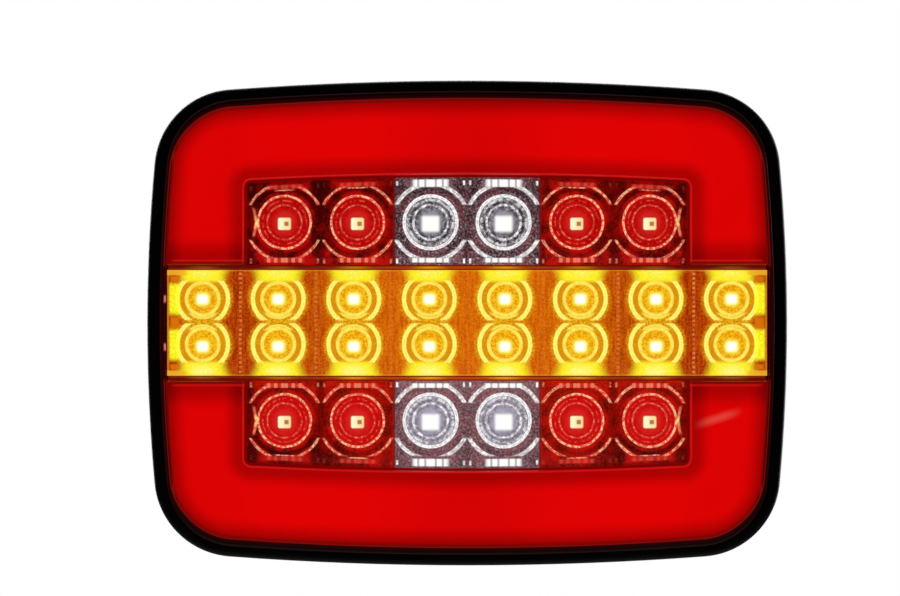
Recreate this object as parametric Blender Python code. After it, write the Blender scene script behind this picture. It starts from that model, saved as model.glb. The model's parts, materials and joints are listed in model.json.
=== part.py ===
"""Square LED combination tail lamp for a trailer: tail glow, stop, reverse and indicator lights.

Metres, +Z up. The lens faces -Y and +X is on the viewer's right. The origin is the centre of the
rear pad's back face, so the pad lies on the plane y = 0 and the fixing studs run out along +Y.
Depths are Y values: the further forward a face is, the more negative its depth.
"""
import math

import bmesh
import bpy
from mathutils import Matrix

# Outline of the lamp, seen from the front
WIDTH = 0.130
HEIGHT = 0.0985
TOP_BOW_RADIUS = 0.648
SIDE_BOW_RADIUS = 0.358
CORNER_RADIUS = 0.0165

# Clearance between neighbouring pieces
FIT = 0.0003

# Housing: a tub with a wider rim round the lens
DEPTH = 0.034
RIM_SIDE = 0.0022
RIM_TOP = 0.0018
RIM_DEPTH = 0.0095
RIM_ROUND = 0.0012
TUB_STEP = 0.0018
TUB_DRAFT = 0.001
BACK_FILLET = 0.002
FLOOR_THICKNESS = 0.0024
SHOULDER_WIDTH = 0.0015
WALL_DRAFT = 0.0004

# Front lens: a crowned window with a skirt that stands on the seal
LENS_THICKNESS = 0.002
LENS_CROWN = 0.0026
LENS_PROUD = 0.0016
LENS_EDGE_ROUND = 0.0014
SKIRT_THICKNESS = 0.001
SEAL_THICKNESS = 0.0008

# Rear pad, cable grommet, studs, washers and nuts
PAD_THICKNESS = 0.003
PAD_MARGIN = 0.0008
GROMMET_DROP = 0.018
GROMMET_BORE = 0.0066
GROMMET_NECK = 0.010
GROMMET_FLANGE = 0.013
GROMMET_LIP = 0.002
STUD_SPACING = 0.050
STUD_DIAMETER = 0.005
STUD_LENGTH = 0.020
STUD_CHAMFER = 0.0006
STUD_HEAD_DIAMETER = 0.010
STUD_HEAD_THICKNESS = 0.0025
PANEL_THICKNESS = 0.0025
WASHER_DIAMETER = 0.010
WASHER_THICKNESS = 0.001
NUT_FLATS = 0.008
NUT_THICKNESS = 0.004
NUT_CHAMFER = 0.0005

# Circuit board, its screws and the parts soldered to its back
STANDOFF = 0.005
BOSS_DIAMETER = 0.007
BOARD_THICKNESS = 0.0016
BOARD_GAP = 0.001
SCREW_INSET_X = 0.0095
SCREW_INSET_Z = 0.0131
SCREW_DIAMETER = 0.0025
SCREW_LENGTH = 0.006
SCREW_HEAD_DIAMETER = 0.0052
SCREW_HEAD_THICKNESS = 0.0015
SCREW_HEAD_FLAT = 0.0042
SCREW_SLOT_LENGTH = 0.0036
SCREW_SLOT = 0.0007
CHIP_SIZE = (0.0066, 0.0023, 0.0061)
CHIP_CHAMFER = 0.0006
CHIP_CROWN = 0.0004
CHIP_INSET = 0.0263
CAPACITOR_DIAMETER = 0.0063
CAPACITOR_HEIGHT = 0.004
CAPACITOR_ROUND = 0.0004
CAPACITOR_SHIFT = 0.014
TERMINAL_SIZE = (0.0105, 0.004, 0.006)
TERMINAL_INSET = 0.0113
TERMINAL_WAYS = 4
TERMINAL_HOLE = 0.0014

# Light sources: dished packages on the front of the board
LED_SIZE = (0.0032, 0.0018, 0.0028)
LED_RIM = 0.0004
LED_DISH = 0.0005
LED_ROOT = 0.0004
TAIL_LED_COUNT = 5
TAIL_LED_PITCH = 0.018
TAIL_LED_HOLE = 0.005

# Inner frame that carries the optics, with one rib above and one below the indicator
FRAME_THICKNESS = 0.0016
FRAME_LEDGE = 0.001
FRAME_MARGIN = 0.003
RIB_THICKNESS = 0.00045
RIB_HEIGHT = 0.0046

# Light guides of the tail light and the reflectors behind them
GUIDE_GAP = 0.0008
GUIDE_THICKNESS = 0.0039
GUIDE_EDGE = 0.0007
LEG_WIDTH = 0.01585
BAR_HEIGHT = 0.01565
REFLECTOR_THICKNESS = 0.0012

# Optics: one block of cells above and one below the indicator strip
BLOCK_GAP = 0.0006
BLOCK_BOW = 0.0012
BLOCK_COLUMNS = 6
BLOCK_END = 0.0076
STRIP_HEIGHT = 0.0215
STRIP_COLUMNS = 8
STRIP_END = 0.00725
STRIP_ROW_PITCH = 0.00975
OPTIC_THICKNESS = 0.0034
BLOCK_RING = 0.0053
STRIP_RING = 0.0034
RING_LAND = 0.0006
RING_STEP = 0.0007

# Facets
SIDE_STEPS = 3
CORNER_STEPS = 6
TOP_STEPS = 4
ROUND_STEPS = 24
SMALL_STEPS = 12
CELL_STEPS = 3
LENS_RINGS = (0.2, 0.5, 0.78)

# Half sizes and outlines that several pieces share
LIP = SKIRT_THICKNESS + FIT
WINDOW_HALF_X = WIDTH / 2 - RIM_SIDE - LIP
WINDOW_HALF_Z = HEIGHT / 2 - RIM_TOP - LIP
OUTER = (WIDTH / 2, HEIGHT / 2, TOP_BOW_RADIUS, SIDE_BOW_RADIUS, CORNER_RADIUS)
WINDOW = (
    WINDOW_HALF_X,
    WINDOW_HALF_Z,
    TOP_BOW_RADIUS - RIM_TOP - LIP,
    SIDE_BOW_RADIUS - RIM_SIDE - LIP,
    CORNER_RADIUS - (RIM_SIDE + RIM_TOP) / 2 - LIP,
)

# Depths, from the rear pad forward to the board
HOUSING_BACK = -PAD_THICKNESS - FIT
FLOOR = HOUSING_BACK - FLOOR_THICKNESS
BOSS_TOP = FLOOR - STANDOFF
BOARD_BACK = BOSS_TOP - FIT
BOARD_FRONT = BOARD_BACK - BOARD_THICKNESS
LED_BACK = BOARD_FRONT - FIT

# Depths, from the crown of the lens back to the shoulder that carries the frame
LENS_EDGE = -DEPTH + LENS_CROWN
RIM_FRONT = LENS_EDGE + LENS_PROUD
RIM_BACK = RIM_FRONT + RIM_DEPTH
LENS_INSIDE = LENS_EDGE + LENS_THICKNESS
GUIDE_FRONT = LENS_INSIDE + GUIDE_GAP
GUIDE_BACK = GUIDE_FRONT + GUIDE_THICKNESS
REFLECTOR_FRONT = GUIDE_BACK + FIT
REFLECTOR_BACK = REFLECTOR_FRONT + REFLECTOR_THICKNESS
FRAME_FRONT = REFLECTOR_BACK + FIT
FRAME_BACK = FRAME_FRONT + FRAME_THICKNESS
SHOULDER = FRAME_BACK + FIT
SEAL_BACK = SHOULDER - FIT
SEAL_FRONT = SEAL_BACK - SEAL_THICKNESS
SKIRT_END = SEAL_FRONT - FIT
OPTIC_BACK = FRAME_FRONT - FIT
OPTIC_FRONT = OPTIC_BACK - OPTIC_THICKNESS
RIB_FRONT = FRAME_FRONT - RIB_HEIGHT

# Layout of the lit face, measured from its centre
STRIP_TOP = STRIP_HEIGHT / 2
RIB_BOTTOM = STRIP_TOP + FIT
RIB_TOP = RIB_BOTTOM + RIB_THICKNESS
BLOCK_BOTTOM = RIB_TOP + FIT
GUIDE_HALF_X = WINDOW_HALF_X - FIT
GUIDE_HALF_Z = WINDOW_HALF_Z - FIT
BLOCK_HALF_X = GUIDE_HALF_X - LEG_WIDTH - BLOCK_GAP
BLOCK_TOP = GUIDE_HALF_Z - BAR_HEIGHT - BLOCK_GAP
BLOCK_ROW = (BLOCK_BOTTOM + BLOCK_TOP - BLOCK_BOW / 2) / 2
BLOCK_PITCH = 2 * (BLOCK_HALF_X - BLOCK_END) / (BLOCK_COLUMNS - 1)
LEG_X = GUIDE_HALF_X - LEG_WIDTH / 2
LEG_Z = (BLOCK_BOTTOM + BLOCK_TOP) / 2
BAR_Z = GUIDE_HALF_Z - BAR_HEIGHT / 2
SCREW_X = WINDOW_HALF_X - SCREW_INSET_X
SCREW_Z = WINDOW_HALF_Z - SCREW_INSET_Z
BOARD_INSET = SHOULDER_WIDTH + WALL_DRAFT + BOARD_GAP
BOARD_HALF_Z = WINDOW_HALF_Z - BOARD_INSET
CHIP_Z = BOARD_HALF_Z - CHIP_INSET
TERMINAL_Z = TERMINAL_INSET - BOARD_HALF_Z


def clear_scene():
    for old in list(bpy.data.objects):
        bpy.data.objects.remove(old, do_unlink=True)


# Outlines in the plane of the face, as lists of (x, z) points that run anticlockwise


def circle(centre_x, centre_z, diameter, steps):
    return arc((centre_x, centre_z), diameter / 2, 0.0, 2 * math.pi, steps)


def rectangle(centre_x, centre_z, half_x, half_z):
    corners = ((-1, -1), (1, -1), (1, 1), (-1, 1))
    return [(centre_x + sx * half_x, centre_z + sz * half_z) for sx, sz in corners]


def arc(centre, radius, start, end, steps):
    angles = [start + (end - start) * i / steps for i in range(steps)]
    return [(centre[0] + radius * math.cos(a), centre[1] + radius * math.sin(a)) for a in angles]


def corner_centre(shape):
    """Centre of the corner arc that is tangent to the top bow and to the side bow."""
    half_x, half_z, top_radius, side_radius, corner_radius = shape
    top_z = half_z - top_radius
    side_x = half_x - side_radius
    to_top = top_radius - corner_radius
    to_side = side_radius - corner_radius
    apart = math.hypot(side_x, top_z)
    along = (apart**2 + to_top**2 - to_side**2) / (2 * apart)
    across = math.sqrt(to_top**2 - along**2)
    unit_x = side_x / apart
    unit_z = -top_z / apart
    return unit_x * along + unit_z * across, top_z + unit_z * along - unit_x * across


def bowed_loop(shape, inset=0.0):
    """A rectangle with bowed sides and round corners, drawn in by inset all round."""
    half_x, half_z, top_radius, side_radius, corner_radius = shape
    top = (0.0, half_z - top_radius)
    side = (half_x - side_radius, 0.0)
    corner = corner_centre(shape)
    side_angle = math.atan2(corner[1] - side[1], corner[0] - side[0])
    top_angle = math.atan2(corner[1] - top[1], corner[0] - top[0])
    quarter = arc(side, side_radius - inset, 0.0, side_angle, SIDE_STEPS)
    quarter += arc(corner, corner_radius - inset, side_angle, top_angle, CORNER_STEPS)
    quarter += arc(top, top_radius - inset, top_angle, math.pi / 2, TOP_STEPS)
    half = quarter + [(0.0, half_z - inset)] + [(-x, z) for x, z in reversed(quarter)]
    return half + [(x, -z) for x, z in reversed(half[1:-1])]


def side_x(shape, inset, z):
    """Half width of a bowed loop at height z."""
    return shape[0] - shape[3] + math.sqrt((shape[3] - inset) ** 2 - z**2)


def scaled(loop, factor):
    return [(x * factor, z * factor) for x, z in loop]


def flipped(loop):
    """The loop turned upside down, still anticlockwise."""
    return [(x, -z) for x, z in reversed(loop)]


def block_top(x, gap=0.0):
    """Height of the bowed top edge of an optic block at x, gap clear of it."""
    return BLOCK_TOP + gap - BLOCK_BOW * (x / BLOCK_HALF_X) ** 2


def guide_loop():
    """The upper light guide: an arch round the optic block, from one leg's foot to the other's."""
    foot_x = side_x(WINDOW, FIT, BLOCK_BOTTOM)
    outer = [(x, z) for x, z in bowed_loop(WINDOW, FIT) if z > BLOCK_BOTTOM + FIT]
    inner_x = BLOCK_HALF_X + BLOCK_GAP
    inner = [inner_x * (i / TOP_STEPS - 1) for i in range(2 * TOP_STEPS + 1)]
    arch = [(x, block_top(x, BLOCK_GAP)) for x in inner]
    feet_left = [(-foot_x, BLOCK_BOTTOM), (-inner_x, BLOCK_BOTTOM)]
    feet_right = [(inner_x, BLOCK_BOTTOM), (foot_x, BLOCK_BOTTOM)]
    return outer + feet_left + arch + feet_right


def tail_led_places():
    """Centres of the tail light sources of the upper guide."""
    first = -TAIL_LED_PITCH * (TAIL_LED_COUNT - 1) / 2
    places = [(first + TAIL_LED_PITCH * i, BAR_Z) for i in range(TAIL_LED_COUNT)]
    return places + [(-LEG_X, LEG_Z), (LEG_X, LEG_Z)]


# Solids


def vert_loop(bm, loop, depth):
    return [bm.verts.new((x, depth, z)) for x, z in loop]


def pairs_round(items):
    """Each item of a closed loop with the one after it."""
    return list(zip(items, items[1:] + items[:1]))


def plate(outer, holes, front, back):
    """A flat sheet between two depths, with holes right through it."""
    bm = bmesh.new()
    loops = [vert_loop(bm, loop, front) for loop in [outer, *holes]]
    edges = [bm.edges.new(pair) for loop in loops for pair in pairs_round(loop)]
    bmesh.ops.triangle_fill(bm, use_beauty=True, use_dissolve=False, edges=edges)
    grown = bmesh.ops.extrude_face_region(bm, geom=bm.faces[:])["geom"]
    moved = [item for item in grown if isinstance(item, bmesh.types.BMVert)]
    bmesh.ops.translate(bm, verts=moved, vec=(0, back - front, 0))
    bmesh.ops.recalc_face_normals(bm, faces=bm.faces[:])
    return bm


def loft(sections, ring=False):
    """A skin through loops of equal count, each a (loop, depth) pair: capped ends, or closed on itself."""
    bm = bmesh.new()
    loops = [vert_loop(bm, loop, depth) for loop, depth in sections]
    spans = pairs_round(loops) if ring else list(zip(loops, loops[1:]))
    for near, far in spans:
        for (a, b), (c, d) in zip(pairs_round(near), pairs_round(far)):
            bm.faces.new((a, b, d, c))
    if not ring:
        bm.faces.new(loops[0])
        bm.faces.new(loops[-1])
    bmesh.ops.recalc_face_normals(bm, faces=bm.faces[:])
    return bm


def turned(profile, steps, ring=False):
    """A solid turned about the Y axis from (diameter, depth) points that end on the axis or meet."""
    bm = bmesh.new()
    verts = [bm.verts.new((diameter / 2, depth, 0)) for diameter, depth in profile]
    spans = pairs_round(verts) if ring else zip(verts, verts[1:])
    edges = [bm.edges.new(pair) for pair in spans]
    bmesh.ops.spin(
        bm,
        geom=verts + edges,
        cent=(0, 0, 0),
        axis=(0, 1, 0),
        angle=2 * math.pi,
        steps=steps,
        use_merge=True,
    )
    bmesh.ops.remove_doubles(bm, verts=bm.verts[:], dist=1e-7)
    bmesh.ops.recalc_face_normals(bm, faces=bm.faces[:])
    return bm


def box(size, centre):
    bm = bmesh.new()
    spread = Matrix.Translation(centre) @ Matrix.Diagonal((*size, 1.0))
    bmesh.ops.create_cube(bm, size=1.0, matrix=spread)
    return bm


def merged(shapes):
    """Several shapes as one mesh, for a tool that joins or cuts in one step."""
    bm = bmesh.new()
    for shape in shapes:
        mesh = bpy.data.meshes.new("shape")
        shape.to_mesh(mesh)
        shape.free()
        bm.from_mesh(mesh)
        bpy.data.meshes.remove(mesh)
    return bm


def round_tools(places, diameter, front, back):
    """Upright cylinders about the Y axis, one at each (x, z) place."""
    return merged(plate(circle(x, z, diameter, ROUND_STEPS), [], front, back) for x, z in places)


# Objects, materials and the cuts that join them


def material(name, colour, roughness, metallic=0.0):
    made = bpy.data.materials.new(name)
    made.use_nodes = True
    shader = made.node_tree.nodes["Principled BSDF"]
    shader.inputs["Base Color"].default_value = (*colour, 1.0)
    shader.inputs["Roughness"].default_value = roughness
    shader.inputs["Metallic"].default_value = metallic
    return made


def mesh_of(name, bm, finish):
    mesh = bpy.data.meshes.new(name)
    bm.to_mesh(mesh)
    bm.free()
    mesh.shade_smooth()
    mesh.set_sharp_from_angle(angle=math.radians(35))
    mesh.materials.append(finish)
    return mesh


def place(name, mesh, location=(0.0, 0.0, 0.0)):
    piece = bpy.data.objects.new(name, mesh)
    piece.location = location
    bpy.context.scene.collection.objects.link(piece)
    return piece


def piece(name, bm, finish, location=(0.0, 0.0, 0.0)):
    return place(name, mesh_of(name, bm, finish), location)


def shape_with(target, bm, operation):
    """Join a shape to a piece, or cut it away, by a Boolean modifier that stays live."""
    label = f"{target.name}_{operation.lower()}_{len(target.modifiers)}"
    mesh = bpy.data.meshes.new(label)
    bm.to_mesh(mesh)
    bm.free()
    tool = place(label, mesh)
    tool.hide_render = True
    tool.display_type = "WIRE"
    tool.parent = target
    step = target.modifiers.new(label, "BOOLEAN")
    step.operation = operation
    step.solver = "EXACT"
    step.object = tool


# Housing and what seals it


def screw_places():
    return [(sx * SCREW_X, sz * SCREW_Z) for sz in (1, -1) for sx in (-1, 1)]


def stud_places():
    return [(-STUD_SPACING / 2, 0.0), (STUD_SPACING / 2, 0.0)]


def make_housing(finish):
    tub_back = TUB_STEP + TUB_DRAFT
    soften = 1 - math.sqrt(0.5)
    inner_lip = bowed_loop(WINDOW, -LIP)
    sections = [
        (bowed_loop(OUTER, tub_back + BACK_FILLET), HOUSING_BACK),
        (bowed_loop(OUTER, tub_back + BACK_FILLET * soften), HOUSING_BACK - BACK_FILLET * soften),
        (bowed_loop(OUTER, tub_back), HOUSING_BACK - BACK_FILLET),
        (bowed_loop(OUTER, TUB_STEP), RIM_BACK),
        (bowed_loop(OUTER), RIM_BACK),
        (bowed_loop(OUTER), RIM_FRONT + RIM_ROUND),
        (bowed_loop(OUTER, RIM_ROUND * soften), RIM_FRONT + RIM_ROUND * soften),
        (bowed_loop(OUTER, RIM_ROUND), RIM_FRONT),
        (inner_lip, RIM_FRONT),
        (inner_lip, SHOULDER),
        (bowed_loop(WINDOW, SHOULDER_WIDTH), SHOULDER),
        (bowed_loop(WINDOW, SHOULDER_WIDTH + WALL_DRAFT), FLOOR),
    ]
    housing = piece("housing", loft(sections), finish)
    rooted = FLOOR + FLOOR_THICKNESS / 2
    shape_with(housing, round_tools(screw_places(), BOSS_DIAMETER, BOSS_TOP, rooted), "UNION")
    pilot_end = BOARD_FRONT + SCREW_LENGTH + FIT
    pilots = round_tools(screw_places(), SCREW_DIAMETER + 2 * FIT, BOARD_BACK, pilot_end)
    shape_with(housing, pilots, "DIFFERENCE")
    through = (FLOOR - FIT, HOUSING_BACK + FIT)
    shape_with(housing, round_tools(stud_places(), STUD_DIAMETER + 2 * FIT, *through), "DIFFERENCE")
    shape_with(housing, round_tools([(0.0, -GROMMET_DROP)], GROMMET_NECK + 2 * FIT, *through), "DIFFERENCE")


def make_rear_gasket(finish):
    margin = TUB_STEP + TUB_DRAFT + BACK_FILLET + PAD_MARGIN
    holes = [circle(x, z, STUD_DIAMETER + 2 * FIT, ROUND_STEPS) for x, z in stud_places()]
    holes.append(circle(0.0, -GROMMET_DROP, GROMMET_FLANGE + 2 * FIT, ROUND_STEPS))
    piece("rear_gasket", plate(bowed_loop(OUTER, margin), holes, -PAD_THICKNESS, 0.0), finish)


def make_cable_grommet(finish):
    inner_face = FLOOR - FIT
    outer_face = HOUSING_BACK + FIT
    profile = [
        (GROMMET_BORE, inner_face - GROMMET_LIP),
        (GROMMET_FLANGE, inner_face - GROMMET_LIP),
        (GROMMET_FLANGE, inner_face),
        (GROMMET_NECK, inner_face),
        (GROMMET_NECK, outer_face),
        (GROMMET_FLANGE, outer_face),
        (GROMMET_FLANGE, outer_face + GROMMET_LIP),
        (GROMMET_BORE, outer_face + GROMMET_LIP),
    ]
    piece("cable_grommet", turned(profile, ROUND_STEPS, ring=True), finish, (0.0, 0.0, -GROMMET_DROP))


def make_lens_seal(finish):
    outer = bowed_loop(WINDOW, -SKIRT_THICKNESS)
    inner = bowed_loop(WINDOW)
    sections = [(outer, SEAL_BACK), (outer, SEAL_FRONT), (inner, SEAL_FRONT), (inner, SEAL_BACK)]
    piece("lens_seal", loft(sections, ring=True), finish)


def make_front_lens(finish):
    soften = 1 - math.sqrt(0.5)
    inner = bowed_loop(WINDOW)
    skirt = bowed_loop(WINDOW, -SKIRT_THICKNESS)
    rounded = bowed_loop(WINDOW, LENS_EDGE_ROUND * soften - SKIRT_THICKNESS)
    front = bowed_loop(WINDOW, LENS_EDGE_ROUND - SKIRT_THICKNESS)
    sections = [(scaled(inner, s), LENS_INSIDE - LENS_CROWN * (1 - s**2)) for s in LENS_RINGS]
    sections += [
        (inner, LENS_INSIDE),
        (inner, SKIRT_END),
        (skirt, SKIRT_END),
        (skirt, LENS_EDGE + LENS_EDGE_ROUND),
        (rounded, LENS_EDGE + LENS_EDGE_ROUND * soften),
        (front, LENS_EDGE),
    ]
    sections += [(scaled(front, s), LENS_EDGE - LENS_CROWN * (1 - s**2)) for s in reversed(LENS_RINGS)]
    piece("front_lens", loft(sections), finish)


# Studs, washers and nuts


def make_stud(finish):
    seat = FLOOR - FIT
    tip = STUD_DIAMETER - 2 * STUD_CHAMFER
    profile = [
        (0.0, seat - STUD_HEAD_THICKNESS),
        (STUD_HEAD_DIAMETER, seat - STUD_HEAD_THICKNESS),
        (STUD_HEAD_DIAMETER, seat),
        (STUD_DIAMETER, seat),
        (STUD_DIAMETER, STUD_LENGTH - STUD_CHAMFER),
        (tip, STUD_LENGTH),
        (0.0, STUD_LENGTH),
    ]
    return mesh_of("stud", turned(profile, ROUND_STEPS), finish)


def make_washer(finish):
    bore = STUD_DIAMETER + 2 * FIT
    far = PANEL_THICKNESS + WASHER_THICKNESS
    profile = [
        (bore, PANEL_THICKNESS),
        (WASHER_DIAMETER, PANEL_THICKNESS),
        (WASHER_DIAMETER, far),
        (bore, far),
    ]
    return mesh_of("washer", turned(profile, ROUND_STEPS, ring=True), finish)


def hexagon(flats, steps):
    """A hexagon as a loop of as many points as a circle has, so that the two bridge evenly."""
    points = []
    for i in range(steps):
        angle = 2 * math.pi * i / steps
        reach = flats / 2 / math.cos(angle % (math.pi / 3) - math.pi / 6)
        points.append((reach * math.cos(angle), reach * math.sin(angle)))
    return points


def make_nut(finish):
    near = PANEL_THICKNESS + WASHER_THICKNESS + FIT
    far = near + NUT_THICKNESS
    bore = circle(0.0, 0.0, STUD_DIAMETER + 2 * FIT, ROUND_STEPS)
    face = circle(0.0, 0.0, NUT_FLATS, ROUND_STEPS)
    body = hexagon(NUT_FLATS, ROUND_STEPS)
    sections = [
        (bore, near),
        (face, near),
        (body, near + NUT_CHAMFER),
        (body, far - NUT_CHAMFER),
        (face, far),
        (bore, far),
    ]
    return mesh_of("nut", loft(sections, ring=True), finish)


def make_fixings(stud_finish, washer_finish, nut_finish):
    """Each fixing's origin lies on its stud's axis, where the washer slides and the nut turns."""
    stud = make_stud(stud_finish)
    washer = make_washer(washer_finish)
    nut = make_nut(nut_finish)
    for side, (x, z) in zip(("left", "right"), stud_places()):
        for name, mesh in (("stud", stud), ("washer", washer), ("nut", nut)):
            place(f"{name}_{side}", mesh, (x, 0.0, z))


# Circuit board and what is fixed to it


def led_shape(centre_x=0.0, centre_z=0.0, sunk=0.0):
    """A light source standing on the board: a block with a dished front."""
    wide, tall, high = LED_SIZE
    bm = box((wide, tall + sunk, high), (centre_x, LED_BACK - tall / 2 + sunk / 2, centre_z))
    front = [face for face in bm.faces if face.normal.y < -0.5]
    bmesh.ops.inset_individual(bm, faces=front, thickness=LED_RIM, depth=0.0)
    bmesh.ops.inset_individual(bm, faces=front, thickness=LED_RIM / 2, depth=-LED_DISH)
    return bm


def make_circuit_board(finish):
    holes = [circle(x, z, SCREW_DIAMETER + 2 * FIT, ROUND_STEPS) for x, z in screw_places()]
    outline = bowed_loop(WINDOW, BOARD_INSET)
    board = piece("circuit_board", plate(outline, holes, BOARD_FRONT, BOARD_BACK), finish)
    sunk = FIT + LED_ROOT
    sources = [led_shape(x, sz * z, sunk) for x, z in tail_led_places() for sz in (1, -1)]
    shape_with(board, merged(sources), "UNION")


def make_board_screws(finish):
    seat = BOARD_FRONT - FIT
    head = seat - SCREW_HEAD_THICKNESS
    profile = [
        (0.0, head),
        (SCREW_HEAD_FLAT, head),
        (SCREW_HEAD_DIAMETER, head + SCREW_HEAD_THICKNESS / 2),
        (SCREW_HEAD_DIAMETER, seat),
        (SCREW_DIAMETER, seat),
        (SCREW_DIAMETER, BOARD_FRONT + SCREW_LENGTH - SCREW_DIAMETER / 2),
        (0.0, BOARD_FRONT + SCREW_LENGTH),
    ]
    mesh = mesh_of("board_screw", turned(profile, SMALL_STEPS), finish)
    names = ("upper_left", "upper_right", "lower_left", "lower_right")
    for name, (x, z) in zip(names, screw_places()):
        screw = place(f"board_screw_{name}", mesh, (x, 0.0, z))
        slot = (SCREW_SLOT_LENGTH, SCREW_HEAD_THICKNESS, SCREW_SLOT)
        shape_with(screw, box(slot, (0.0, head, 0.0)), "DIFFERENCE")


def make_regulator_chip(finish):
    seat = BOARD_BACK + FIT
    bm = box(CHIP_SIZE, (0.0, seat + CHIP_SIZE[1] / 2, CHIP_Z))
    top = [face for face in bm.faces if face.normal.y > 0.5]
    bmesh.ops.inset_individual(bm, faces=top, thickness=CHIP_CHAMFER, depth=0.0)
    bmesh.ops.translate(bm, verts=top[0].verts[:], vec=(0, CHIP_CROWN, 0))
    piece("regulator_chip", bm, finish)


def make_smoothing_capacitor(finish):
    seat = BOARD_BACK + FIT
    profile = [
        (0.0, seat),
        (CAPACITOR_DIAMETER, seat),
        (CAPACITOR_DIAMETER, seat + CAPACITOR_HEIGHT - CAPACITOR_ROUND),
        (CAPACITOR_DIAMETER - 2 * CAPACITOR_ROUND, seat + CAPACITOR_HEIGHT),
        (0.0, seat + CAPACITOR_HEIGHT),
    ]
    bm = turned(profile, ROUND_STEPS)
    piece("smoothing_capacitor", bm, finish, (-CAPACITOR_SHIFT, 0.0, CHIP_Z))


def make_wire_terminal(finish):
    """A push-in terminal whose wire entries face the cable grommet."""
    wide, tall, high = TERMINAL_SIZE
    middle = BOARD_BACK + FIT + tall / 2
    terminal = piece("wire_terminal", box(TERMINAL_SIZE, (0.0, middle, TERMINAL_Z)), finish)
    pitch = wide / TERMINAL_WAYS
    entry_z = TERMINAL_Z + high / 2
    entry = (TERMINAL_HOLE, TERMINAL_HOLE, high)
    places = [pitch * (i + 0.5) - wide / 2 for i in range(TERMINAL_WAYS)]
    shape_with(terminal, merged(box(entry, (x, middle, entry_z)) for x in places), "DIFFERENCE")


# Frame, reflectors, light guides and optics


def block_columns():
    """Centres of the cells of an optic block, from left to right."""
    return [BLOCK_PITCH * i - BLOCK_HALF_X + BLOCK_END for i in range(BLOCK_COLUMNS)]


def strip_half_x():
    return side_x(WINDOW, FIT, STRIP_TOP)


def strip_columns():
    """Centres of the cells of the indicator strip, from left to right."""
    pitch = 2 * (strip_half_x() - STRIP_END) / (STRIP_COLUMNS - 1)
    return [pitch * i - strip_half_x() + STRIP_END for i in range(STRIP_COLUMNS)]


def block_panels():
    """The three panels of an optic block: red, clear and red, each with its edges and cell centres."""
    columns = block_columns()
    share = BLOCK_COLUMNS // 3
    panels = []
    kinds = (("stop_optic", "left"), ("reverse_optic", ""), ("stop_optic", "right"))
    for i, (name, side) in enumerate(kinds):
        cells = columns[i * share : (i + 1) * share]
        left = -BLOCK_HALF_X if i == 0 else cells[0] - (BLOCK_PITCH - FIT) / 2
        right = BLOCK_HALF_X if i == 2 else cells[-1] + (BLOCK_PITCH - FIT) / 2
        panels.append((name, side, left, right, cells))
    return panels


def make_inner_frame(finish):
    windows = [rectangle(0.0, 0.0, strip_half_x() - FRAME_LEDGE - FIT, STRIP_TOP - FRAME_LEDGE)]
    low = BLOCK_BOTTOM + FRAME_LEDGE
    high = BLOCK_TOP - BLOCK_BOW - FRAME_LEDGE
    for sz in (1, -1):
        for _, _, left, right, _ in block_panels():
            half = ((right - left) / 2 - FRAME_LEDGE, (high - low) / 2)
            windows.append(rectangle((left + right) / 2, sz * (low + high) / 2, *half))
        bar_half = (BLOCK_HALF_X - FRAME_MARGIN, BAR_HEIGHT / 2 - FRAME_MARGIN)
        windows.append(rectangle(0.0, sz * BAR_Z, *bar_half))
        leg_half = (LEG_WIDTH / 2 - FRAME_MARGIN, (BLOCK_TOP - BLOCK_BOTTOM) / 2 - FRAME_MARGIN)
        windows += [rectangle(sx * LEG_X, sz * LEG_Z, *leg_half) for sx in (-1, 1)]
    outline = bowed_loop(WINDOW, FIT)
    frame = piece("inner_frame", plate(outline, windows, FRAME_FRONT, FRAME_BACK), finish)
    rib_length = 2 * side_x(WINDOW, FIT, RIB_TOP) - FRAME_LEDGE
    rib_root = FRAME_FRONT + FRAME_THICKNESS / 2
    rib_size = (rib_length, rib_root - RIB_FRONT, RIB_THICKNESS)
    rib_z = (RIB_BOTTOM + RIB_TOP) / 2
    ribs = [box(rib_size, (0.0, (rib_root + RIB_FRONT) / 2, sz * rib_z)) for sz in (1, -1)]
    shape_with(frame, merged(ribs), "UNION")


def make_reflectors(finish):
    holes = [circle(x, z, TAIL_LED_HOLE, SMALL_STEPS) for x, z in tail_led_places()]
    over = plate(guide_loop(), holes, REFLECTOR_FRONT, REFLECTOR_BACK)
    piece("tail_reflector_upper", over, finish)
    lower = [flipped(hole) for hole in holes]
    under = plate(flipped(guide_loop()), lower, REFLECTOR_FRONT, REFLECTOR_BACK)
    piece("tail_reflector_lower", under, finish)


def guide_shape(loop):
    """A guide plate whose front edge is rounded all the way round."""
    bm = plate(loop, [], GUIDE_FRONT, GUIDE_BACK)
    front_faces = {face for face in bm.faces if face.normal.y < -0.5}
    rim = [edge for edge in bm.edges if len(front_faces.intersection(edge.link_faces)) == 1]
    bmesh.ops.bevel(
        bm,
        geom=rim,
        offset=GUIDE_EDGE,
        segments=2,
        profile=0.5,
        affect="EDGES",
        material=-1,
        clamp_overlap=True,
    )
    return bm


def make_light_guides(finish):
    piece("upper_light_guide", guide_shape(guide_loop()), finish)
    piece("lower_light_guide", guide_shape(flipped(guide_loop())), finish)


def on_ring(across, up, radius):
    """The place on a ring for a point of a square cell, given as shares of its half sizes."""
    quarter = math.pi / 4
    if abs(across) >= abs(up):
        angle = up / across * quarter + (math.pi if across < 0 else 0.0)
    else:
        angle = math.pi / 2 - across / up * quarter + (math.pi if up < 0 else 0.0)
    return radius * math.cos(angle), radius * math.sin(angle)


def between(stops, position):
    """The value at a fractional position along a list of stops."""
    index = min(int(position), len(stops) - 2)
    return stops[index] + (stops[index + 1] - stops[index]) * (position - index)


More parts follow.
